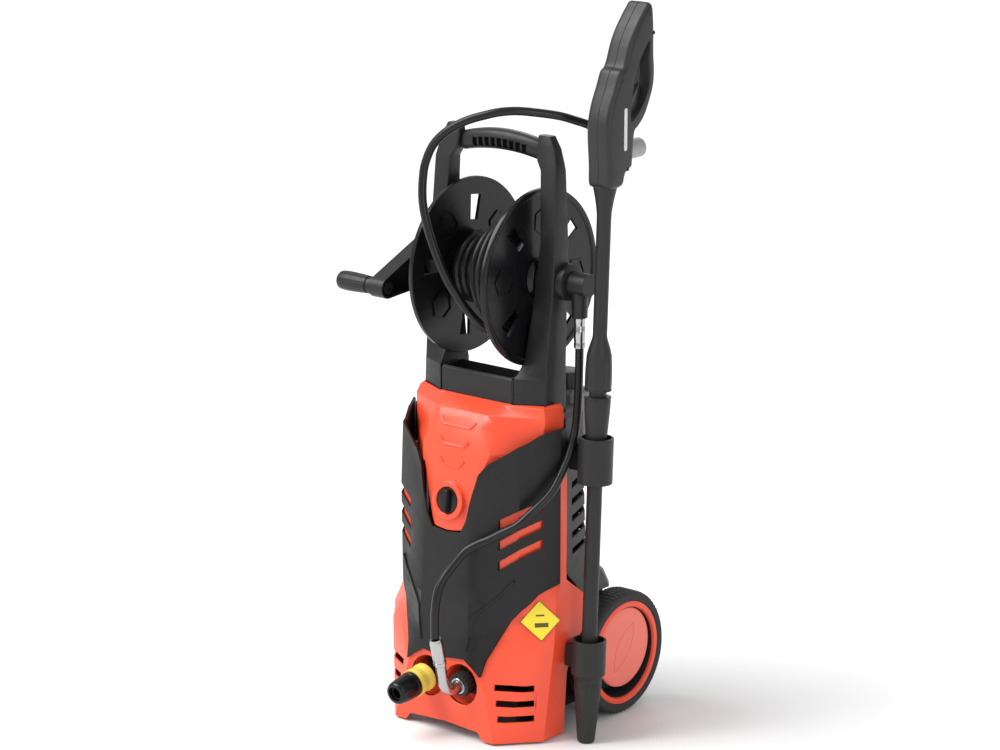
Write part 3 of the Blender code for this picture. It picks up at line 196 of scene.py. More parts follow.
ORANGE = surface("orange_moulding", (0.86, 0.080, 0.030), 0.34, relief=0.06, mottle=0.03)
PANEL = surface("panel_moulding", (0.008, 0.008, 0.008), 0.40, relief=0.16)
BLACK = surface("black_moulding", (0.018, 0.018, 0.019), 0.44, relief=0.16)
FRAME_BLACK = surface("frame_moulding", (0.014, 0.014, 0.015), 0.38, relief=0.14)
GLOSS = surface("reel_moulding", (0.006, 0.006, 0.007), 0.22, relief=0.03, spread=0.03)
GREY = surface("rear_moulding", (0.055, 0.052, 0.052), 0.50, relief=0.18)
GUN_GREY = surface("gun_moulding", (0.026, 0.025, 0.026), 0.38, relief=0.10)
HUB_RED = surface("hub_moulding", (0.90, 0.190, 0.140), 0.42, relief=0.08, mottle=0.03)
TYRE = surface("tyre_rubber", (0.036, 0.033, 0.035), 0.72, relief=0.35, grain=1100)
HOSE = surface("hose_rubber", (0.009, 0.009, 0.010), 0.30, relief=0.05, spread=0.04)
CORD = surface("cord_rubber", (0.020, 0.020, 0.021), 0.50, relief=0.12)
STEEL = surface("bright_steel", (0.47, 0.47, 0.48), 0.20, metal=1.0, relief=0.02, mottle=0.03)
DULL_STEEL = surface("machined_steel", (0.45, 0.46, 0.47), 0.40, metal=1.0, relief=0.06)
CAST = surface("cast_aluminium", (0.58, 0.59, 0.60), 0.44, metal=1.0, relief=0.40, grain=700)
YELLOW = surface("yellow_moulding", (0.90, 0.70, 0.12), 0.38, relief=0.05, mottle=0.04)
TANK = surface("tank_moulding", (0.16, 0.165, 0.17), 0.22, relief=0.05)
LABEL_YELLOW = surface("yellow_label", (0.90, 0.70, 0.02), 0.34, relief=0.02, mottle=0.01)
LABEL_GREY = surface("grey_label", (0.62, 0.62, 0.62), 0.30, relief=0.02, mottle=0.02)
LABEL_INK = surface("label_ink", (0.10, 0.08, 0.02), 0.40, relief=0.02, mottle=0.02)
PALE_GREY = surface("pale_grey_moulding", (0.30, 0.30, 0.30), 0.45, relief=0.10)


# ---- geometry helpers

def finished(name, mesh, material, body, nodes=(), edge=0.0, segments=2, sharp=38, shifted=False, clamp=True):
    """Show a mesh as a piece that rides on a body and may stand for CAD nodes."""
    obj = bpy.data.objects.new(name, mesh)
    bpy.context.scene.collection.objects.link(obj)
    if not shifted:
        mesh.transform(Matrix.Translation(ORIGIN))
    mesh.materials.clear()
    mesh.materials.append(material)
    mesh.shade_smooth()
    if edge:
        mod = obj.modifiers.new("edge", "BEVEL")
        mod.width = edge
        mod.segments = segments
        mod.limit_method = "ANGLE"
        mod.angle_limit = math.radians(28)
        mod.use_clamp_overlap = clamp
        normals = obj.modifiers.new("normals", "WEIGHTED_NORMAL")
        normals.keep_sharp = False
    else:
        mesh.set_sharp_from_angle(angle=math.radians(sharp))
    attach(obj, body)
    if nodes:
        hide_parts(*nodes)
    return obj


def new_mesh(name, verts, faces, merge=0.000002):
    """Mesh with doubled points merged and its faces turned outwards."""
    mesh = bpy.data.meshes.new(name)
    mesh.from_pydata([tuple(v) for v in verts], [], faces)
    bm = bmesh.new()
    bm.from_mesh(mesh)
    bmesh.ops.remove_doubles(bm, verts=bm.verts, dist=merge)
    bmesh.ops.recalc_face_normals(bm, faces=bm.faces)
    bm.to_mesh(mesh)
    bm.free()
    return mesh


def cad_mesh(node):
    """A CAD node's shape with its flat areas joined up again."""
    bm = bmesh.new()
    bm.from_mesh(frame["nodes"][node].data)
    bmesh.ops.remove_doubles(bm, verts=bm.verts, dist=0.00002)
    bmesh.ops.dissolve_limit(bm, angle_limit=math.radians(0.7), verts=bm.verts, edges=bm.edges)
    bm.verts.index_update()
    verts = [v.co.copy() for v in bm.verts]
    faces = [[v.index for v in f.verts] for f in bm.faces]
    bm.free()
    return new_mesh(node + "_finished", verts, faces)


def refine(node, material, edge=0.0008, segments=2, clamp=True):
    """Show a CAD node with rounded edges."""
    return finished(node + "_finish", cad_mesh(node), material, BODY_OF[node], (node,), edge, segments,
                    shifted=True, clamp=clamp)


def loft(name, rings):
    """Skin through rings of equal length, capped at both ends."""
    width, count = len(rings[0]), len(rings)
    faces = []
    for i in range(count - 1):
        for j in range(width):
            a, b = i * width + j, i * width + (j + 1) % width
            faces.append((a, b, b + width, a + width))
    faces += [tuple(range(width)), tuple(range((count - 1) * width, count * width))]
    return new_mesh(name, [p for ring in rings for p in ring], faces)


def turned(name, profile, origin, direction, sides=56, teeth=None):
    """Body of revolution from (radius, height) points; teeth = (count, depth, low, high) makes flutes."""
    turn = Vector((0, 0, 1)).rotation_difference(Vector(direction).normalized()).to_matrix()
    rings = []
    for k in range(sides):
        a = math.tau * k / sides
        ring = []
        for radius, height in profile:
            if teeth and teeth[2] <= height <= teeth[3] and radius > 0.004:
                wave = math.sin(a * teeth[0])
                radius -= teeth[1] * min(1.0, max(0.0, 0.5 - 1.6 * wave))
            ring.append(Vector(origin) + turn @ Vector((radius * math.cos(a), radius * math.sin(a), height)))
        rings.append(ring)
    verts, faces, width = [p for ring in rings for p in ring], [], len(profile)
    for k in range(sides):
        for j in range(width):
            a, b = k * width + j, k * width + (j + 1) % width
            c, d = (k + 1) % sides * width + (j + 1) % width, (k + 1) % sides * width + j
            if profile[j][0] or profile[(j + 1) % width][0]:
                faces.append((a, b, c, d))
    return new_mesh(name, verts, faces, 0.000005)


def prism(name, outline, low, high, plane="XZ"):
    """Outline with thickness: XZ is thick along Y, YZ along X and XY along Z."""
    def at(a, b, depth):
        return {"XZ": (a, depth, b), "YZ": (depth, a, b), "XY": (a, b, depth)}[plane]
    return loft(name, [[at(a, b, low) for a, b in outline], [at(a, b, high) for a, b in outline]])


def subtract(mesh, *cutters):
    """Mesh with others cut out of it."""
    scene = bpy.context.scene
    body = bpy.data.objects.new("cutting", mesh)
    scene.collection.objects.link(body)
    others = []
    for cutter in cutters:
        other = bpy.data.objects.new("cutter", cutter)
        scene.collection.objects.link(other)
        others.append(other)
        mod = body.modifiers.new("cut", "BOOLEAN")
        mod.operation = "DIFFERENCE"
        mod.solver = "EXACT"
        mod.object = other
    bpy.context.view_layer.update()
    result = bpy.data.meshes.new_from_object(body.evaluated_get(bpy.context.evaluated_depsgraph_get()))
    for obj in (body, *others):
        bpy.data.objects.remove(obj, do_unlink=True)
    return result


def spline_point(a, b, c, d, t):
    """Point at share t from b to c on the smooth curve through a, b, c and d."""
    return 0.5 * (2 * b + (c - a) * t + (2 * a - 5 * b + 4 * c - d) * t * t
                  + (3 * b - a - 3 * c + d) * t ** 3)


def smooth_path(points, step):
    """Points of a smooth curve through the given ones, about one step apart."""
    pts = [Vector(p) for p in points]
    padded = [2 * pts[0] - pts[1]] + pts + [2 * pts[-1] - pts[-2]]
    fine = []
    for a, b, c, d in zip(padded, padded[1:], padded[2:], padded[3:]):
        fine += [spline_point(a, b, c, d, i / 12) for i in range(12)]
    fine.append(pts[-1])
    total = path_length(fine)
    count = max(2, round(total / step))
    out, walked, target = [fine[0]], 0.0, total / count
    for p, q in zip(fine, fine[1:]):
        span = (q - p).length
        while span and walked + span >= target - 1e-9 and len(out) < count:
            out.append(p.lerp(q, (target - walked) / span))
            target += total / count
        walked += span
    return out + [fine[-1]]


def path_length(points):
    return sum((Vector(q) - Vector(p)).length for p, q in zip(points, points[1:]))


def sweep(name, points, radius, sides=18):
    """Round bar along points; radius is one number or one per point."""
    pts = [Vector(p) for p in points]
    radii = radius if isinstance(radius, (list, tuple)) else [radius] * len(pts)
    along = (pts[1] - pts[0]).normalized()
    side = along.orthogonal().normalized()
    rings = []
    for i, p in enumerate(pts):
        heading = (pts[min(i + 1, len(pts) - 1)] - pts[max(i - 1, 0)]).normalized()
        side = (side - heading * side.dot(heading)).normalized()
        other = heading.cross(side)
        turns = [math.tau * k / sides for k in range(sides)]
        rings.append([p + radii[i] * (side * math.cos(a) + other * math.sin(a)) for a in turns])
    return loft(name, rings)


def closed_smooth(outline, per_span):
    """Smooth closed outline through (a, b) points."""
    pts = [Vector(p) for p in outline]
    fine = []
    for i in range(len(pts)):
        a, b, c, d = pts[i - 1], pts[i], pts[(i + 1) % len(pts)], pts[(i + 2) % len(pts)]
        fine += [spline_point(a, b, c, d, k / per_span) for k in range(per_span)]
    return fine


def inset(outline, distance):
    """Closed anticlockwise outline moved inwards and evened out."""
    moved = []
    for i, here in enumerate(outline):
        chord = outline[(i + 1) % len(outline)] - outline[i - 1]
        moved.append(here + Vector((-chord.y, chord.x)).normalized() * distance)
    for _ in range(2 if distance > 0.002 else 0):
        moved = [(moved[i - 1] + 2 * moved[i] + moved[(i + 1) % len(moved)]) / 4 for i in range(len(moved))]
    return moved


def rounded_ring(corners, radius, steps=4):
    """Ring through four 3-D corners with the corners rounded."""
    ring = []
    for i, here in enumerate(corners):
        before, after = corners[i - 1], corners[(i + 1) % len(corners)]
        start = here + (before - here).normalized() * radius
        end = here + (after - here).normalized() * radius
        for k in range(steps + 1):
            t = k / steps
            ring.append(start * (1 - t) ** 2 + here * 2 * t * (1 - t) + end * t * t)
    return ring


def on_lance(height):
    return LANCE_LOW + LANCE_UP * height


# ---- camera

def make_camera():
    data = bpy.data.cameras.new("camera")
    data.lens = 116.9
    data.sensor_width = 36.0
    data.clip_end = 60.0
    camera = bpy.data.objects.new("camera", data)
    bpy.context.scene.collection.objects.link(camera)
    camera.location = Vector((2.8021, -3.4123, 1.6541)) + ORIGIN
    target = Vector((-0.4330, 0.5180, 0.3174)) + ORIGIN
    camera.rotation_mode = "QUATERNION"
    camera.rotation_quaternion = (target - camera.location).to_track_quat("-Z", "Y")
    bpy.context.scene.camera = camera


# ---- hoses and mains cord

def shown_cord(name, points, diameter, material, body, nodes, exit_point, far_end, lay, with_pieces=(), **more):
    """A cord as a mesh tube that follows machine points."""
    obj = finished(name, sweep(name, points, diameter / 2), material, body, nodes) if body else None
    if obj is None:
        mesh = sweep(name, points, diameter / 2)
        mesh.transform(Matrix.Translation(ORIGIN))
        mesh.materials.append(material)
        mesh.shade_smooth()
        obj = bpy.data.objects.new(name, mesh)
        bpy.context.scene.collection.objects.link(obj)
        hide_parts(*nodes)
    return obj


def winding_points():
    """Hose on the drum, from the core outwards: four layers, the outer turns loose and hanging."""
    joint = Vector(GUN_HOSE_ROUTE[-1])
    last = math.atan2(joint.z - REEL_Z, joint.y)
    # turns so far, radius, x
    keys = ((0.0, 0.0463, -0.0520), (8.5, 0.0463, 0.0516), (8.9, 0.0582, 0.0510), (13.2, 0.0582, 0.0000),
            (13.6, 0.0700, 0.0010), (17.2, 0.0700, 0.0450), (17.7, 0.0820, 0.0440), (19.6, 0.0830, 0.0230),
            (20.3, 0.0905, 0.0290), (20.4, 0.0950, joint.x))
    turns, points = keys[-1][0], []
    steps = round(turns * 40)
    for i in range(steps + 1):
        t = turns * i / steps
        for (t0, r0, x0), (t1, r1, x1) in zip(keys, keys[1:]):
            if t <= t1 + 1e-9:
                s = (t - t0) / (t1 - t0)
                radius, x = r0 + (r1 - r0) * s, x0 + (x1 - x0) * s
                break
        angle = last + math.tau * (turns - t)
        loose = min(1.0, max(0.0, (t - 13.0) / 3.0)) * min(1.0, (turns - t) / 0.6)
        x += loose * 0.0030 * math.sin(angle + 0.8 * t)
        drop = loose * 0.0035
        points.append(Vector((x, radius * math.cos(angle), REEL_Z - drop + radius * math.sin(angle))))
    return points


def hank_points():
    """Mains cord round the two hooks: a little over eleven turns in three layers."""
    # up the front, over the upper hook, down the back and under the lower one
    def on_turn(share, radius, x):
        straight, arc = 2 * HANK_HALF, math.pi * radius
        s = share % 1.0 * (2 * straight + 2 * arc)
        if s < straight / 2:
            return Vector((x, HANK_Y - radius, HANK_Z + s))
        s -= straight / 2
        if s < arc:
            a = math.pi - s / radius
            return Vector((x, HANK_Y + radius * math.cos(a), HANK_Z + HANK_HALF + radius * math.sin(a)))
        s -= arc
        if s < straight:
            return Vector((x, HANK_Y + radius, HANK_Z + HANK_HALF - s))
        s -= straight
        if s < arc:
            a = -s / radius
            return Vector((x, HANK_Y + radius * math.cos(a), HANK_Z - HANK_HALF + radius * math.sin(a)))
        return Vector((x, HANK_Y - radius, HANK_Z - HANK_HALF + s - arc))

    columns = (-0.1566, -0.1494, -0.1422, -0.1350)
    spots = []
    for layer, radius in enumerate((0.0208, 0.0280, 0.0352)):
        order = columns if layer % 2 == 0 else columns[::-1]
        spots += [(radius, x) for x in order]
    spots.append((0.0415, -0.1440))
    points = []
    steps = 44
    for i in range(round(HANK_TURNS * steps)):
        t = (i + 1) / steps
        turn = int(t)
        share = t - turn
        start, width = (0.20, 0.16) if turn == 11 else (0.62, 0.24)
        blend = min(1.0, max(0.0, (share - start) / width))
        blend = blend * blend * (3 - 2 * blend)
        (r0, x0), (r1, x1) = spots[turn], spots[turn + 1]
        points.append(on_turn(share, r0 + (r1 - r0) * blend, x0 + (x1 - x0) * blend))
    return points


def make_plug():
    body = [(0.0, 0.0450), (0.0048, 0.0450), (0.0060, 0.0300), (0.0075, 0.0290), (0.0075, 0.0275), (0.0110, 0.0262),
            (0.0135, 0.0210), (0.0150, 0.0080), (0.0170, 0.0020), (0.0170, 0.0), (0.0, 0.0)]
    plug = finished("plug_body", turned("plug_body", body, PLUG - Vector((0, 0, 0.0450)), (0, 0, 1), 40,
                                        (18, 0.0006, 0.006, 0.0220)), CORD, "chassis", ("mains_plug",))
    pin = [(0, 0), (0.0017, 0.0), (0.0023, 0.0012), (0.0023, 0.0185), (0, 0.0185)]
    for side, label in ((-1, "a"), (1, "b")):
        low = PLUG + Vector((0, side * 0.0095, -0.0630))
        finished(f"plug_pin_{label}", turned("pin", pin, low, (0, 0, 1), 16), STEEL, "chassis")
    return plug


def make_cords():
    span = smooth_path(GUN_HOSE_ROUTE, 0.008)
    gun_hose = shown_cord("gun_hose_span", span, HOSE_D, HOSE, None, ("gun_hose",), span[0], "object", "hanging",
                          length=round(path_length(span), 3), stiffness="stiff")
    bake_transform(gun_hose)
    turns = winding_points()
    shown_cord("hose_on_reel", turns, HOSE_D, HOSE, "reel", ("hose_winding",), turns[0], "object", "coiled",
               length=round(path_length(turns), 2), stiffness="stiff")
    jumper = smooth_path(JUMPER_ROUTE, 0.008)
    shown_cord("jumper_hose_run", jumper, HOSE_D, HOSE, "chassis", ("jumper_hose",), jumper[0], "object", "loose",
               length=round(path_length(jumper), 3), stiffness="stiff")
    plug = make_plug()
    pins = [bpy.data.objects["plug_pin_a"], bpy.data.objects["plug_pin_b"]]
    route = list(CORD_LEAD_ROUTE) + [tuple(p) for p in hank_points()[2:]] + list(CORD_TAIL_ROUTE[1:])
    lead = smooth_path(route, 0.004)
    shown_cord("mains_lead", lead, CORD_D, CORD, "chassis", ("mains_cord", "mains_hank", "mains_tail"), lead[0],
               "plug", "coiled", (plug, *pins), length=5.0, stiffness="medium")


# ---- casings

def row_y(rows, x, z):
    """Y of a cover's outer surface given rows of (z, [(x, y), ...]) from the middle outwards."""
    x = abs(x)

    def along(points):
        for (x0, y0), (x1, y1) in zip(points, points[1:]):
            if x <= x1 or (x1, y1) == points[-1]:
                return y0 + (y1 - y0) * min(1.0, max(0.0, (x - x0) / max(1e-6, x1 - x0)))

    for (z0, low), (z1, high) in zip(rows, rows[1:]):
        if z <= z1 or z1 == rows[-1][0]:
            s = min(1.0, max(0.0, (z - z0) / (z1 - z0)))
            return along(low) * (1 - s) + along(high) * s


PANEL_ROWS = [(z, [(0.0, half[0][1] - 0.0038)] + [(x + 0.0015, y - 0.0042) for x, y in half])
              for z, *half in FRONT_SECTIONS]
HOOD_ROWS = [(z, [(0.0, plate), (inner, plate), *half]) for z, inner, plate, *half in HOOD_SECTIONS]


def ridge(name, line, rows, width, height, material):
    """Raised moulding line along (x, z) points of a cover."""
    dense = []
    for (x0, z0), (x1, z1) in zip(line, line[1:]):
        count = max(1, round(math.hypot(x1 - x0, z1 - z0) / 0.004))
        dense += [(x0 + (x1 - x0) * i / count, z0 + (z1 - z0) * i / count) for i in range(count)]
    dense.append(line[-1])
    rings = []
    for i, (x, z) in enumerate(dense):
        before, after = dense[max(0, i - 1)], dense[min(len(dense) - 1, i + 1)]
        heading = Vector((after[0] - before[0], after[1] - before[1])).normalized()
        across = Vector((-heading.y, heading.x))
        ring = []
        for offset, lift in ((-1.0, -0.0008), (-0.45, height), (0.45, height), (1.0, -0.0008)):
            px, pz = x + across.x * offset * width / 2, z + across.y * offset * width / 2
            ring.append(Vector((px, row_y(rows, px, pz) - lift, pz)))
        rings.append(ring)
    return finished(name, loft(name, rings), material, "chassis", sharp=60)


def screw(name, place, out, radius, body):
    """Dark screw head with a shallow recess."""
    place, out = Vector(place), Vector(out).normalized()
    head = [(0.0, 0.0002), (radius * 0.30, 0.0002), (radius * 0.34, 0.0008), (radius * 0.8, 0.0008),
            (radius, 0.0002), (radius, -0.0020), (0.0, -0.0020)]
    return finished(name, turned(name, head, place, out, 20), GLOSS, body)


def make_casings():
    refine("front_shell", ORANGE, 0.0012, 2, clamp=False)
    refine("front_panel", PANEL, 0.0011, 2)
    refine("top_hood", ORANGE, 0.0012, 2, clamp=False)
    refine("port_recess", ORANGE, 0.0006)
    refine("rear_housing", GREY, 0.0010)
    refine("base_tray", BLACK, 0.0010)
    refine("cross_tray", FRAME_BLACK, 0.0010)
    for label in ("left", "right"):
        refine(f"front_foot_{label}", TYRE, 0.0006)
    for row, (z, half) in enumerate(((0.4440, 0.0310), (0.4180, 0.0250), (0.3900, 0.0215))):
        line = [(-half, z + 0.0065), (-half + 0.0075, z - 0.0015), (half - 0.0075, z - 0.0015), (half, z + 0.0065)]
        ridge(f"hood_chevron_{row}", line, HOOD_ROWS, 0.0036, 0.0020, ORANGE)
    for side, label in ((-1, "left"), (1, "right")):
        line = [(side * x, z) for x, z in ((0.1010, 0.2365), (0.0900, 0.2206), (0.0490, 0.1800), (0.0410, 0.1300))]
        ridge(f"panel_crease_{label}", line, PANEL_ROWS, 0.0040, 0.0018, PANEL)


def make_shade_sheets():
    """Black sheets inside the casing that paint shade where one looks into it: behind the panel's wings, across the
    casing and behind the louvres of both cheeks.
    """
    for side, label in ((-1, "left"), (1, "right")):
        # painted shade: thin black sheets closing the gap behind each panel wing so it reads dark
        rings = []
        for z, x in ((0.3860, 0.1262), (0.4200, 0.1256), (0.4440, 0.1250)):
            plan = ((x, -0.0420), (x + 0.0020, -0.0420), (x + 0.0008, -0.0150), (x - 0.0012, -0.0150))
            rings.append([Vector((side * a, b, z)) for a, b in plan])
        finished(f"wing_shade_sheet_{label}", loft("wing_shade_sheet", rings), BLACK, "chassis", sharp=20)
    # painted shade: black sheets across the casing and behind the cheeks' louvres, so the slots read as dark openings
    for name, left, right, low, high, y in (("casing_shade_sheet", -0.1180, 0.1180, 0.2000, 0.4400, -0.0150),
                                            ("cheek_shade_sheet_left", -0.1365, -0.0960, 0.0060, 0.1300, -0.0450),
                                            ("cheek_shade_sheet_right", 0.0960, 0.1365, 0.0060, 0.1300, -0.0450)):
        corners = [(left, low), (right, low), (right, high), (left, high)]
        finished(name, prism(name, corners, y, y + 0.0015), BLACK, "chassis", sharp=20)


def make_labels():
    """Hazard-coloured label on the right cheek, with two plain bars and no lettering."""
    normal = Vector((0.678, -0.625, 0.387)).normalized()
    middle = Vector((0.1240, -0.0633, 0.1963)) + normal * 0.0012
    up = (Vector((0, 0, 1)) - normal * normal.z).normalized()
    side = up.cross(normal)
    # off its true place, to stay clear of the cheek's crease
    middle -= up * 0.021 + side * 0.006

    def slab(name, half, thick, material, offset=(0, 0), turn=45, aspect=1.0):
        a = math.radians(turn)
        u, v = side * math.cos(a) + up * math.sin(a), up * math.cos(a) - side * math.sin(a)
        centre = middle + side * offset[0] + up * offset[1]
        corners = [centre + u * half * i * aspect + v * half * j for i, j in ((-1, -1), (1, -1), (1, 1), (-1, 1))]
        rings = [rounded_ring([c + normal * lift for c in corners], half * 0.08) for lift in (-0.0004, thick)]
        finished(name, loft(name, rings), material, "chassis", sharp=60)

    slab("cheek_label", 0.0200, 0.0002, LABEL_INK)
    slab("cheek_label_face", 0.0194, 0.0003, LABEL_YELLOW)
    slab("cheek_label_bar_a", 0.0012, 0.0004, LABEL_INK, (0.0, 0.0075), 0, 5.0)
    slab("cheek_label_bar_b", 0.0030, 0.0004, LABEL_INK, (0.0015, -0.0060), 0, 3.2)


# ---- wheels

def make_wheels():
    refine("axle", DULL_STEEL, 0.0005)
    for side, label in ((-1, "left"), (1, "right")):
        origin, out = Vector((side * WHEEL_IN, *AXLE)), Vector((side, 0, 0))
        body = f"wheel_{label}"
        tread = [(0.0755, 0.0004), (0.0790, 0.0), (0.0855, 0.0006), (0.0885, 0.0030), (0.0898, 0.0065),
                 (0.0900, 0.0140), (0.0886, 0.0146), (0.0886, 0.0156), (0.0900, 0.0162), (0.0900, 0.0254),
                 (0.0886, 0.0260), (0.0886, 0.0270), (0.0900, 0.0276), (0.0898, 0.0351), (0.0885, 0.0386),
                 (0.0855, 0.0410), (0.0800, 0.0416), (0.0770, 0.0412), (0.0755, 0.0400)]
        finished(f"tyre_tread_{label}", turned("tyre", tread, origin, out, 288, (72, 0.0011, 0.0030, 0.0386)),
                 TYRE, body, (f"tyre_{label}",), sharp=30)
        rim = [(0.0752, 0.0400), (0.0752, 0.0020), (0.0120, 0.0020), (0.0120, -0.0060), (0.0064, -0.0060),
               (0.0064, 0.0300), (0.0120, 0.0300), (0.0120, 0.0100), (0.0600, 0.0100), (0.0655, 0.0300),
               (0.0668, 0.0385), (0.0680, 0.0402), (0.0740, 0.0406)]
        finished(f"rim_ring_{label}", turned("rim", rim, origin, out, 96), ORANGE, body, (f"rim_{label}",))
        dish = [(0.0118, 0.0104), (0.0600, 0.0104), (0.0650, 0.0295), (0.0661, 0.0370), (0.0654, 0.0370),
                (0.0642, 0.0300), (0.0594, 0.0112), (0.0118, 0.0112)]
        finished(f"rim_dish_{label}", turned("dish", dish, origin, out, 96), BLACK, body)
        centre = origin + Vector((0, 0, 0.0075))
        disc = [(0.0, 0.0380), (0.0480, 0.0380), (0.0555, 0.0374), (0.0578, 0.0362), (0.0585, 0.0345),
                (0.0580, 0.0336), (0.0, 0.0336)]
        finished(f"hub_cover_{label}", turned("hub", disc, centre, out, 96), HUB_RED, body, (f"hub_disc_{label}",))
        for row, (bulge, start, end) in enumerate(((0.016, 0.40, 2.70), (-0.014, 0.55, 2.60))):
            arc = []
            for i in range(25):
                t = i / 24
                y = (-0.040 + 0.080 * t) * math.cos(0.95) - bulge * math.sin(math.pi * t) * math.sin(0.95)
                z = (-0.040 + 0.080 * t) * math.sin(0.95) + bulge * math.sin(math.pi * t) * math.cos(0.95)
                arc.append(centre + Vector((side * 0.0379, y * side, z)))
            finished(f"hub_line_{label}_{row}", sweep("line", arc, 0.0007, 8), HUB_RED, body)


# ---- frame and reel

def make_frame():
    for side, label in ((1, "right"), (-1, "left")):
        rings = []
        for z, inner, outer, front_in, front_out, back in POST_SECTIONS:
            corners = [Vector((side * inner, front_in, z)), Vector((side * outer, front_out, z)),
                       Vector((side * outer, back, z)), Vector((side * inner, back, z))]
            rings.append(rounded_ring(corners, 0.0032, 3))
        last = rings[-1]
        middle = sum(last, Vector()) / len(last)
        rings.append([middle + (p - middle) * 0.93 + Vector((0, 0, 0.0008)) for p in last])
        post = loft(f"post_{label}", rings)
        finished(f"post_moulding_{label}", post, FRAME_BLACK, "chassis", (f"post_{label}",), sharp=24)
        boss = [(0.0106, 0.0), (0.0106, 0.0460), (0.0235, 0.0460), (0.0255, 0.0450), (0.0260, 0.0430),
                (0.0260, 0.0)]
        finished(f"post_boss_{label}", turned("boss", boss, (side * 0.0765, 0, REEL_Z), (side, 0, 0), 64),
                 FRAME_BLACK, "chassis")
    rings = []
    for i in range(33):
        x = -0.0680 + 0.1360 * i / 32
        rise = 1 - (x / GRIP_HALF) ** 2
        ring = []
        for k in range(28):
            a = math.tau * k / 28
            c, s = math.cos(a), math.sin(a)
            half_y, half_z = 0.0120 + 0.0020 * rise, 0.0140 + 0.0006 * rise
            ring.append(Vector((x, 0.0030 + half_y * math.copysign(abs(c) ** 0.8, c),
                                GRIP_Z + GRIP_RISE * rise + half_z * math.copysign(abs(s) ** 0.8, s))))
        rings.append(ring)
    bar = loft("grip", rings)
    pockets = []
    for i in range(9):
        x = -0.0440 + 0.0110 * i
        z = GRIP_Z + GRIP_RISE * (1 - (x / GRIP_HALF) ** 2)
        low, high = z - 0.0095, z + 0.0030
        outline = [(x - 0.0042, low), (x + 0.0042, low), (x + 0.0042, high), (x - 0.0042, high)]
        pockets.append(prism("pocket", outline, -0.02, -0.0040))
    finished("grip_bar", subtract(bar, *pockets), FRAME_BLACK, "chassis", ("handle_grip",), sharp=40)


def hexagon(y, z, radius, turn):
    return [(y + radius * math.cos(math.tau * i / 6 + turn), z + radius * math.sin(math.tau * i / 6 + turn))
            for i in range(6)]


def make_reel():
    refine("reel_shaft", DULL_STEEL, 0.0004)
    refine("reel_core", FRAME_BLACK, 0.0004)
    for side, label in ((-1, "left"), (1, "right")):
        profile = [(0.1215, 0.0075), (0.1242, 0.0068), (0.1250, 0.0050), (0.1250, 0.0008), (0.1244, 0.0),
                   (0.0110, 0.0), (0.0110, 0.0130), (0.0250, 0.0130), (0.0262, 0.0122), (0.0300, 0.0060),
                   (0.1150, 0.0046), (0.1170, 0.0068)]
        disc = turned("flange", profile, (side * 0.0605, 0, REEL_Z), (side, 0, 0), 120)
        cutters = []
        first = FLANGE_WINDOWS[label]
        for i in range(4):
            a = math.radians(first + 90 * i)
            window = []
            for radius, spread in ((0.064, 0.12), (0.064, -0.12), (0.100, -0.11), (0.100, 0.11)):
                window.append((radius * math.cos(a + spread), REEL_Z + radius * math.sin(a + spread)))
            low, high = sorted((side * 0.05, side * 0.09))
            cutters.append(prism("window", window, low, high, "YZ"))
        finished(f"reel_disc_{label}", subtract(disc, *cutters), GLOSS, "reel", (f"reel_flange_{label}",), sharp=25)
        for face, level in (("outer", side * 0.0655), ("inner", side * 0.0600)):
            out = side if face == "outer" else -side
            for i in range(4):
                a = math.radians(first + 45 + 90 * i)
                y, z = 0.078 * math.cos(a), REEL_Z + 0.078 * math.sin(a)
                low, high = sorted((level, level + out * 0.0016))
                hole = prism("hex_hole", hexagon(y, z, 0.0185, a), low - 0.003, high + 0.003, "YZ")
                rim = subtract(prism("hex_rim", hexagon(y, z, 0.0215, a), low, high, "YZ"), hole)
                finished(f"reel_hex_{label}_{face}_{i}", rim, GLOSS, "reel", sharp=25)


def make_crank():
    refine("crank_arm", FRAME_BLACK, 0.0012, 3)
    knob = [(0.0, 0.0622), (0.0078, 0.0622), (0.0110, 0.0612), (0.0128, 0.0590), (0.0137, 0.0545),
            (0.0142, 0.0450), (0.0141, 0.0360), (0.0136, 0.0240), (0.0130, 0.0130), (0.0126, 0.0085),
            (0.0112, 0.0080), (0.0112, 0.0062), (0.0124, 0.0058), (0.0122, 0.0), (0.0050, 0.0),
            (0.0050, -0.0260), (0.0, -0.0260)]
    finished("crank_knob_grip", turned("knob", knob, (-0.1508, -0.1030, 0.6200), (-1, 0, 0), 64,
                                       (16, 0.0005, 0.0130, 0.0545)), FRAME_BLACK, "crank_knob", ("crank_knob",))
    refine("swivel_elbow", FRAME_BLACK, 0.0010, 3)
    ferrule = [(0, 0.0427), (0.0070, 0.0427), (0.0080, 0.0418), (0.0080, 0.0330), (0.0074, 0.0322),
               (0.0074, 0.0306), (0.0080, 0.0298), (0.0080, 0.0100), (0.0076, 0.0092), (0.0076, 0.0072),
               (0.0080, 0.0064), (0.0080, 0.0), (0, 0)]
    finished("reel_ferrule_crimped", turned("ferrule", ferrule, (0.1350, 0, 0.5563), (0, 0, 1), 40), STEEL, "chassis",
             ("reel_ferrule",))


# ---- lance and gun

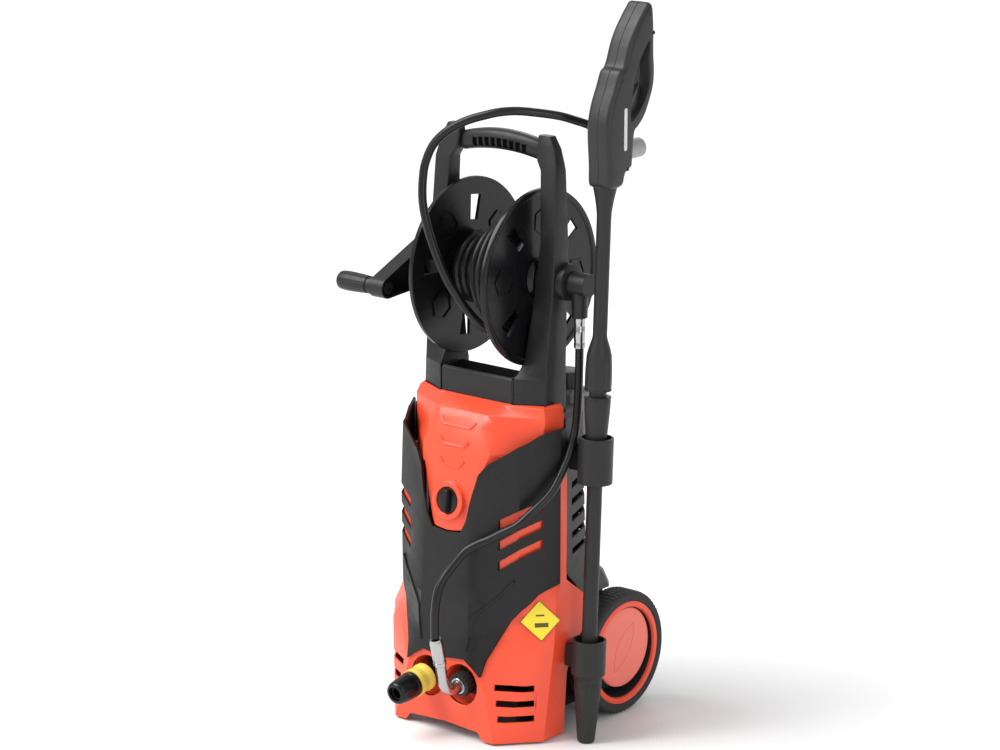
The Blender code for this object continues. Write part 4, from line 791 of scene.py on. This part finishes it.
def make_lance():
    def turn(name, node, profile, material=BLACK, teeth=None, sides=64):
        finished(name, turned(name, profile, on_lance(0.0), LANCE_UP, sides, teeth), material, BODY_OF[node], (node,))

    turn("nozzle_shroud", "spray_nozzle",
         [(0, 0.1035), (0.0140, 0.1035), (0.0185, 0.1025), (0.0195, 0.1005), (0.0195, 0.0915), (0.0188, 0.0905),
          (0.0188, 0.0885), (0.0193, 0.0875), (0.0184, 0.0720), (0.0174, 0.0600), (0.0160, 0.0450), (0.0144, 0.0260),
          (0.0128, 0.0080), (0.0122, 0.0030), (0.0112, 0.0010), (0.0080, 0.0010), (0.0070, 0.0080), (0, 0.0080)],
         teeth=(12, 0.0009, 0.0200, 0.0650))
    turn("nozzle_tube", "nozzle_lance",
         [(0, 0.4980), (0.0172, 0.4980), (0.0181, 0.4965), (0.0182, 0.4900), (0.0176, 0.4760), (0.0150, 0.4420),
          (0.0125, 0.4000), (0.0110, 0.3820), (0.0108, 0.3700), (0.0108, 0.1120), (0.0130, 0.1110), (0.0130, 0.1045),
          (0.0126, 0.1038), (0, 0.1038)])
    turn("extension_tube", "extension_lance",
         [(0, 0.7900), (0.0160, 0.7900), (0.0165, 0.7885), (0.0163, 0.7865), (0.0128, 0.7700), (0.0104, 0.7540),
          (0.0100, 0.7440), (0.0100, 0.5830), (0.0106, 0.5790), (0.0150, 0.5650), (0.0172, 0.5560), (0.0181, 0.5440),
          (0.0186, 0.5300), (0.0187, 0.5150), (0.0184, 0.5090), (0.0170, 0.5064), (0.0120, 0.5060), (0.0120, 0.4983),
          (0, 0.4983)], teeth=(10, 0.0010, 0.5150, 0.5500), sides=80)
    for node in ("lance_ring", "lance_cup"):
        refine(node, BLACK, 0.0009)
    for z in (0.4965, 0.5075):
        collar = [(0.0155, z - 0.0010), (0.0186, z - 0.0012), (0.0190, z), (0.0186, z + 0.0012),
                  (0.0155, z + 0.0010)]
        finished(f"coupling_ring_{round(z * 1000)}", turned("ring", collar, on_lance(0.0), LANCE_UP, 48), FRAME_BLACK,
                 "nozzle_lance" if z < 0.498 else "lance")


def gun_shell():
    """Both halves of the trigger gun as one rounded shell with the finger window through it."""
    outline, window = closed_smooth(GUN_OUTLINE, 5), closed_smooth(GUN_WINDOW, 5)
    levels = [(0.0, 0.0007), (0.0003, 0.0007), (0.0009, 0.0), (0.0120, 0.0001)]
    levels += [(0.0120 + 0.0080 * math.sin(a), 0.0066 * (1 - math.cos(a)))
               for a in (math.radians(d) for d in (15, 30, 45, 60, 75, 90))]
    levels = [(-x, d) for x, d in reversed(levels[1:])] + levels
    bm = bmesh.new()
    rims = []
    for loop, sign, reach in ((outline, 1, 1.0), (window[::-1], 1, 0.35)):
        rows = []
        for x, depth in levels:
            rows.append([bm.verts.new((LANCE_X + x, p.x, p.y)) for p in inset(loop, sign * depth * reach)])
        for low, high in zip(rows, rows[1:]):
            for k in range(len(loop)):
                n = (k + 1) % len(loop)
                bm.faces.new((low[k], low[n], high[n], high[k]))
        rims.append((rows[0], rows[-1]))
    for end in (0, 1):
        edges = []
        for rim in rims:
            ring = rim[end]
            edges += [bm.edges.get((ring[k], ring[(k + 1) % len(ring)])) for k in range(len(ring))]
        bmesh.ops.triangle_fill(bm, use_beauty=True, use_dissolve=False, edges=edges)
    bmesh.ops.recalc_face_normals(bm, faces=bm.faces)
    mesh = bpy.data.meshes.new("gun")
    bm.to_mesh(mesh)
    bm.free()
    return mesh


def make_gun():
    finished("gun_body", gun_shell(), GUN_GREY, "lance", ("gun_shell_left", "gun_shell_right"), sharp=42)
    refine("trigger", FRAME_BLACK, 0.0010)
    refine("trigger_lock", GUN_GREY, 0.0005)
    refine("gun_inlet", PALE_GREY, 0.0015, 3)
    strip = [Vector((LANCE_X + 0.0196, y, z)) for y, z in ((0.0140, 0.8360), (0.0205, 0.8360), (0.0205, 0.8940),
                                                          (0.0140, 0.8940))]
    rings = [rounded_ring([p + Vector((lift, 0, 0)) for p in strip], 0.0030) for lift in (-0.0020, 0.0006)]
    finished("gun_label", loft("gun_label", rings), LABEL_GREY, "lance", sharp=60)
    for i, (y, z) in enumerate(((0.0095, 0.9320), (0.0230, 0.8100), (0.0700, 1.0150), (0.0780, 0.9890))):
        screw(f"gun_screw_{i}", (LANCE_X + 0.0197, y, z), (1, 0, 0), 0.0028, "lance")


# ---- water, switch, power unit, back

def make_water():
    tip, along = Vector((-PORT_X, -0.2030, 0.0688)), Vector((0.0, 0.1227, 0.0168)).normalized()
    body = [(0.0, 0.0780), (0.0109, 0.0780), (0.0109, 0.0915), (0.0142, 0.0915), (0.0142, 0.0386),
            (0.0182, 0.0386), (0.0188, 0.0378), (0.0188, 0.0330), (0.0180, 0.0322), (0.0180, 0.0300),
            (0.0186, 0.0290), (0.0182, 0.0200), (0.0174, 0.0100), (0.0166, 0.0045), (0.0150, 0.0012),
            (0.0132, 0.0), (0.0110, 0.0), (0.0104, 0.0010), (0.0104, 0.0060), (0.0085, 0.0065),
            (0.0085, 0.0200), (0.0, 0.0200)]
    finished("connector_nose", turned("nose", body, tip, along, 64, (20, 0.0006, 0.0100, 0.0290)), GLOSS, "chassis",
             ("connector_body",))
    collar = [(0.0145, 0.0668), (0.0188, 0.0668), (0.0201, 0.0655), (0.0203, 0.0630), (0.0203, 0.0596),
              (0.0194, 0.0570), (0.0189, 0.0535), (0.0191, 0.0500), (0.0199, 0.0470), (0.0203, 0.0450),
              (0.0203, 0.0405), (0.0198, 0.0392), (0.0145, 0.0390)]
    finished("connector_collar_grip", turned("collar", collar, tip, along, 72, (24, 0.0005, 0.0400, 0.0460)), YELLOW,
             "connector_collar", ("connector_collar",))
    refine("water_inlet", BLACK, 0.0004)
    refine("outlet_stub", BLACK, 0.0004)
    back, front = Vector((PORT_X, -0.1165, 0.08014)), Vector((PORT_X, -0.1370, 0.07711))
    axis = (front - back).normalized()
    nut = [(0.0098, 0.0), (0.0165, 0.0), (0.0175, 0.0012), (0.0175, 0.0185), (0.0165, 0.0202), (0.0130, 0.0207),
           (0.0098, 0.0207)]
    finished("outlet_nut_grip", turned("nut", nut, back, axis, 108, (18, 0.0012, 0.0010, 0.0190)), BLACK,
             "outlet_nut", ("outlet_nut",))
    washer = [(0.0093, 0.0200), (0.0093, 0.0222), (0.0112, 0.0222), (0.0118, 0.0216), (0.0118, 0.0200)]
    finished("outlet_washer", turned("washer", washer, back, axis, 48), STEEL, "outlet_nut")
    points = smooth_path([p[:3] for p in ELBOW_ROUTE], 0.0025)
    radii = [0.0092 - 0.0017 * min(1.0, max(0.0, (-p.y - 0.140) / 0.018)) for p in points]
    finished("outlet_bend", sweep("bend", points, radii, 28), STEEL, "chassis", ("outlet_elbow",))
    low, high = Vector((PORT_X, -0.1750, 0.1185)), Vector((PORT_X, -0.1860, 0.1612))
    ferrule = [(0.0, 0.0), (0.0082, 0.0), (0.0092, 0.0010), (0.0092, 0.0060), (0.0085, 0.0068),
               (0.0085, 0.0100), (0.0092, 0.0108), (0.0092, 0.0360), (0.0086, 0.0390), (0.0080, 0.0400),
               (0.0080, 0.0425), (0.0, 0.0425)]
    finished("outlet_ferrule", turned("ferrule", ferrule, low, high - low, 40), STEEL, "chassis")
    for side, label in ((-1, "left"), (1, "right")):
        back = Vector((side * PORT_X, -0.1022, PORT_Z + 0.004))
        disc = [(0.0, 0.0), (0.0262, 0.0), (0.0262, 0.0010), (0.0, 0.0010)]
        finished(f"port_shade_{label}", turned("shade", disc, back, (0, -1, 0), 40), BLACK, "chassis")


def make_switch():
    turn = Vector((0, 0, 1)).rotation_difference(KNOB_OUT).to_matrix()
    profile = [(0.0, -0.0120), (0.0178, -0.0120), (0.0180, 0.0030), (0.0174, 0.0046), (0.0160, 0.0050),
               (0.0, 0.0050)]
    knob = turned("knob", profile, KNOB, KNOB_OUT, 72)
    finished("switch_dial", knob, GLOSS, "switch_knob", ("switch_knob",))
    up = KNOB_OUT.cross(Vector((1, 0, 0))).normalized()
    up = up if up.z > 0 else -up
    rings = []
    for lift, half_w, half_l in ((0.0, 0.0056, 0.0168), (0.0110, 0.0048, 0.0160), (0.0128, 0.0036, 0.0146)):
        corners = [KNOB + KNOB_OUT * (lift + 0.001) + Vector((1, 0, 0)) * i * half_w + up * j * half_l
                   for i, j in ((-1, -1), (1, -1), (1, 1), (-1, 1))]
        rings.append(rounded_ring(corners, 0.0020))
    finished("switch_bar", loft("bar", rings), GLOSS, "switch_knob", sharp=30)
    rim = [(0.0192, 0.0040), (0.0192, 0.0056), (0.0204, 0.0064), (0.0262, 0.0064), (0.0274, 0.0056),
           (0.0276, 0.0040)]
    finished("switch_bezel", turned("bezel", rim, KNOB, KNOB_OUT, 72), ORANGE, "chassis")
    refine("power_switch", BLACK, 0.0010)


def make_power_unit():
    refine("pump_head", CAST, 0.0015)
    refine("motor_can", DULL_STEEL, 0.0006)
    refine("motor_rotor", DULL_STEEL, 0.0004)


def back_slab(name, low, high, y, material, thick, radius):
    """Rounded plate standing proud of a back face, given by its (x, z) corners."""
    corners = [(low[0], low[1]), (high[0], low[1]), (high[0], high[1]), (low[0], high[1])]
    rings = [rounded_ring([Vector((x, y + lift, z)) for x, z in corners], radius) for lift in (-0.0008, thick)]
    finished(name, loft(name, rings), material, "chassis", sharp=50)


def make_back_details():
    """Ribs, screws and a blank plate on the base's back, and the tank's raised panel and window."""
    for row in range(6):
        z = 0.0450 + 0.0170 * row
        back_slab(f"base_rib_{row}", (-0.0700, z), (0.0700, z + 0.0060), 0.1050, BLACK, 0.0016, 0.0025)
    back_slab("rating_plate", (-0.0450, 0.1560), (0.0450, 0.1800), 0.1050, LABEL_GREY, 0.0004, 0.0030)
    back_slab("tank_panel", (-0.0640, 0.3500), (0.0640, 0.4560), 0.1000, TANK, 0.0012, 0.0120)
    back_slab("tank_window", (0.0540, 0.3560), (0.0600, 0.4500), 0.1012, LABEL_GREY, 0.0006, 0.0028)
    for side in (-1, 1):
        for z in (0.0300, 0.1480):
            screw(f"base_screw_{'l' if side < 0 else 'r'}_{round(z * 1000)}", (side * 0.0860, 0.1050, z),
                  (0, 1, 0), 0.0038, "chassis")


def make_back():
    refine("detergent_tank", TANK, 0.0040, 4)
    cap = [(0.0, 0.0240), (0.0175, 0.0240), (0.0205, 0.0230), (0.0220, 0.0208), (0.0228, 0.0100), (0.0230, 0.0),
           (0.0174, 0.0), (0.0174, 0.0190), (0.0, 0.0190)]
    finished("tank_cap_grip", turned("cap", cap, (0.0500, 0.0770, 0.4723), (0, 0, 1), 96, (24, 0.0008, 0.0, 0.0210)),
             BLACK, "tank_cap", ("tank_cap",))
    refine("cord_gland", CORD, 0.0003)
    for label in ("upper", "lower"):
        refine(f"cord_hook_{label}", BLACK, 0.0012)


# ---- stage and light

def make_stage():
    floor = bpy.data.meshes.new("floor")
    count, radius = 96, 40.0
    angles = [math.tau * i / count for i in range(count)]
    ring = [(radius * math.cos(a), radius * math.sin(a), 0.0) for a in angles]
    floor.from_pydata(ring, [], [tuple(range(count))])
    floor.materials.append(surface("pale_floor", (0.86, 0.86, 0.86), 0.75, relief=0.0, mottle=0.0))
    obj = bpy.data.objects.new("floor", floor)
    bpy.context.scene.collection.objects.link(obj)


def area_light(name, place, size, power):
    data = bpy.data.lights.new(name, "AREA")
    data.shape = "RECTANGLE"
    data.size, data.size_y = size
    data.energy = power
    light = bpy.data.objects.new(name, data)
    light.location = place
    light.rotation_euler = (Vector((0.0, 0.0, 0.45)) - Vector(place)).to_track_quat("-Z", "Y").to_euler()
    bpy.context.scene.collection.objects.link(light)


def make_light():
    scene = bpy.context.scene
    scene.view_settings.view_transform = "Standard"
    world = bpy.data.worlds.new("studio")
    world.use_nodes = True
    nodes, links = world.node_tree.nodes, world.node_tree.links
    sky = nodes["Background"]
    sky.inputs["Color"].default_value = (1.0, 1.0, 1.0, 1.0)
    rays = nodes.new("ShaderNodeLightPath")
    level = nodes.new("ShaderNodeMapRange")
    level.inputs["To Min"].default_value, level.inputs["To Max"].default_value = 0.62, 1.0
    links.new(rays.outputs["Is Camera Ray"], level.inputs["Value"])
    links.new(level.outputs["Result"], sky.inputs["Strength"])
    scene.world = world
    data = bpy.data.lights.new("sun", "SUN")
    data.energy = 2.6
    data.angle = math.radians(40)
    sun = bpy.data.objects.new("sun", data)
    sun.rotation_euler = Vector((0.55, 0.50, -1.0)).to_track_quat("-Z", "Y").to_euler()
    scene.collection.objects.link(sun)
    area_light("key", (-1.6, -2.6, 2.2), (0.8, 1.6), 26)
    area_light("side", (2.8, -1.2, 1.5), (0.5, 1.8), 14)
    area_light("rear", (-1.2, 2.6, 2.0), (1.6, 1.4), 14)


make_camera()
make_cords()
make_casings()
make_shade_sheets()
make_labels()
make_wheels()
make_frame()
make_reel()
make_crank()
make_lance()
make_gun()
make_water()
make_switch()
make_power_unit()
make_back()
make_back_details()
make_stage()
make_light()

bpy.context.view_layer.update()
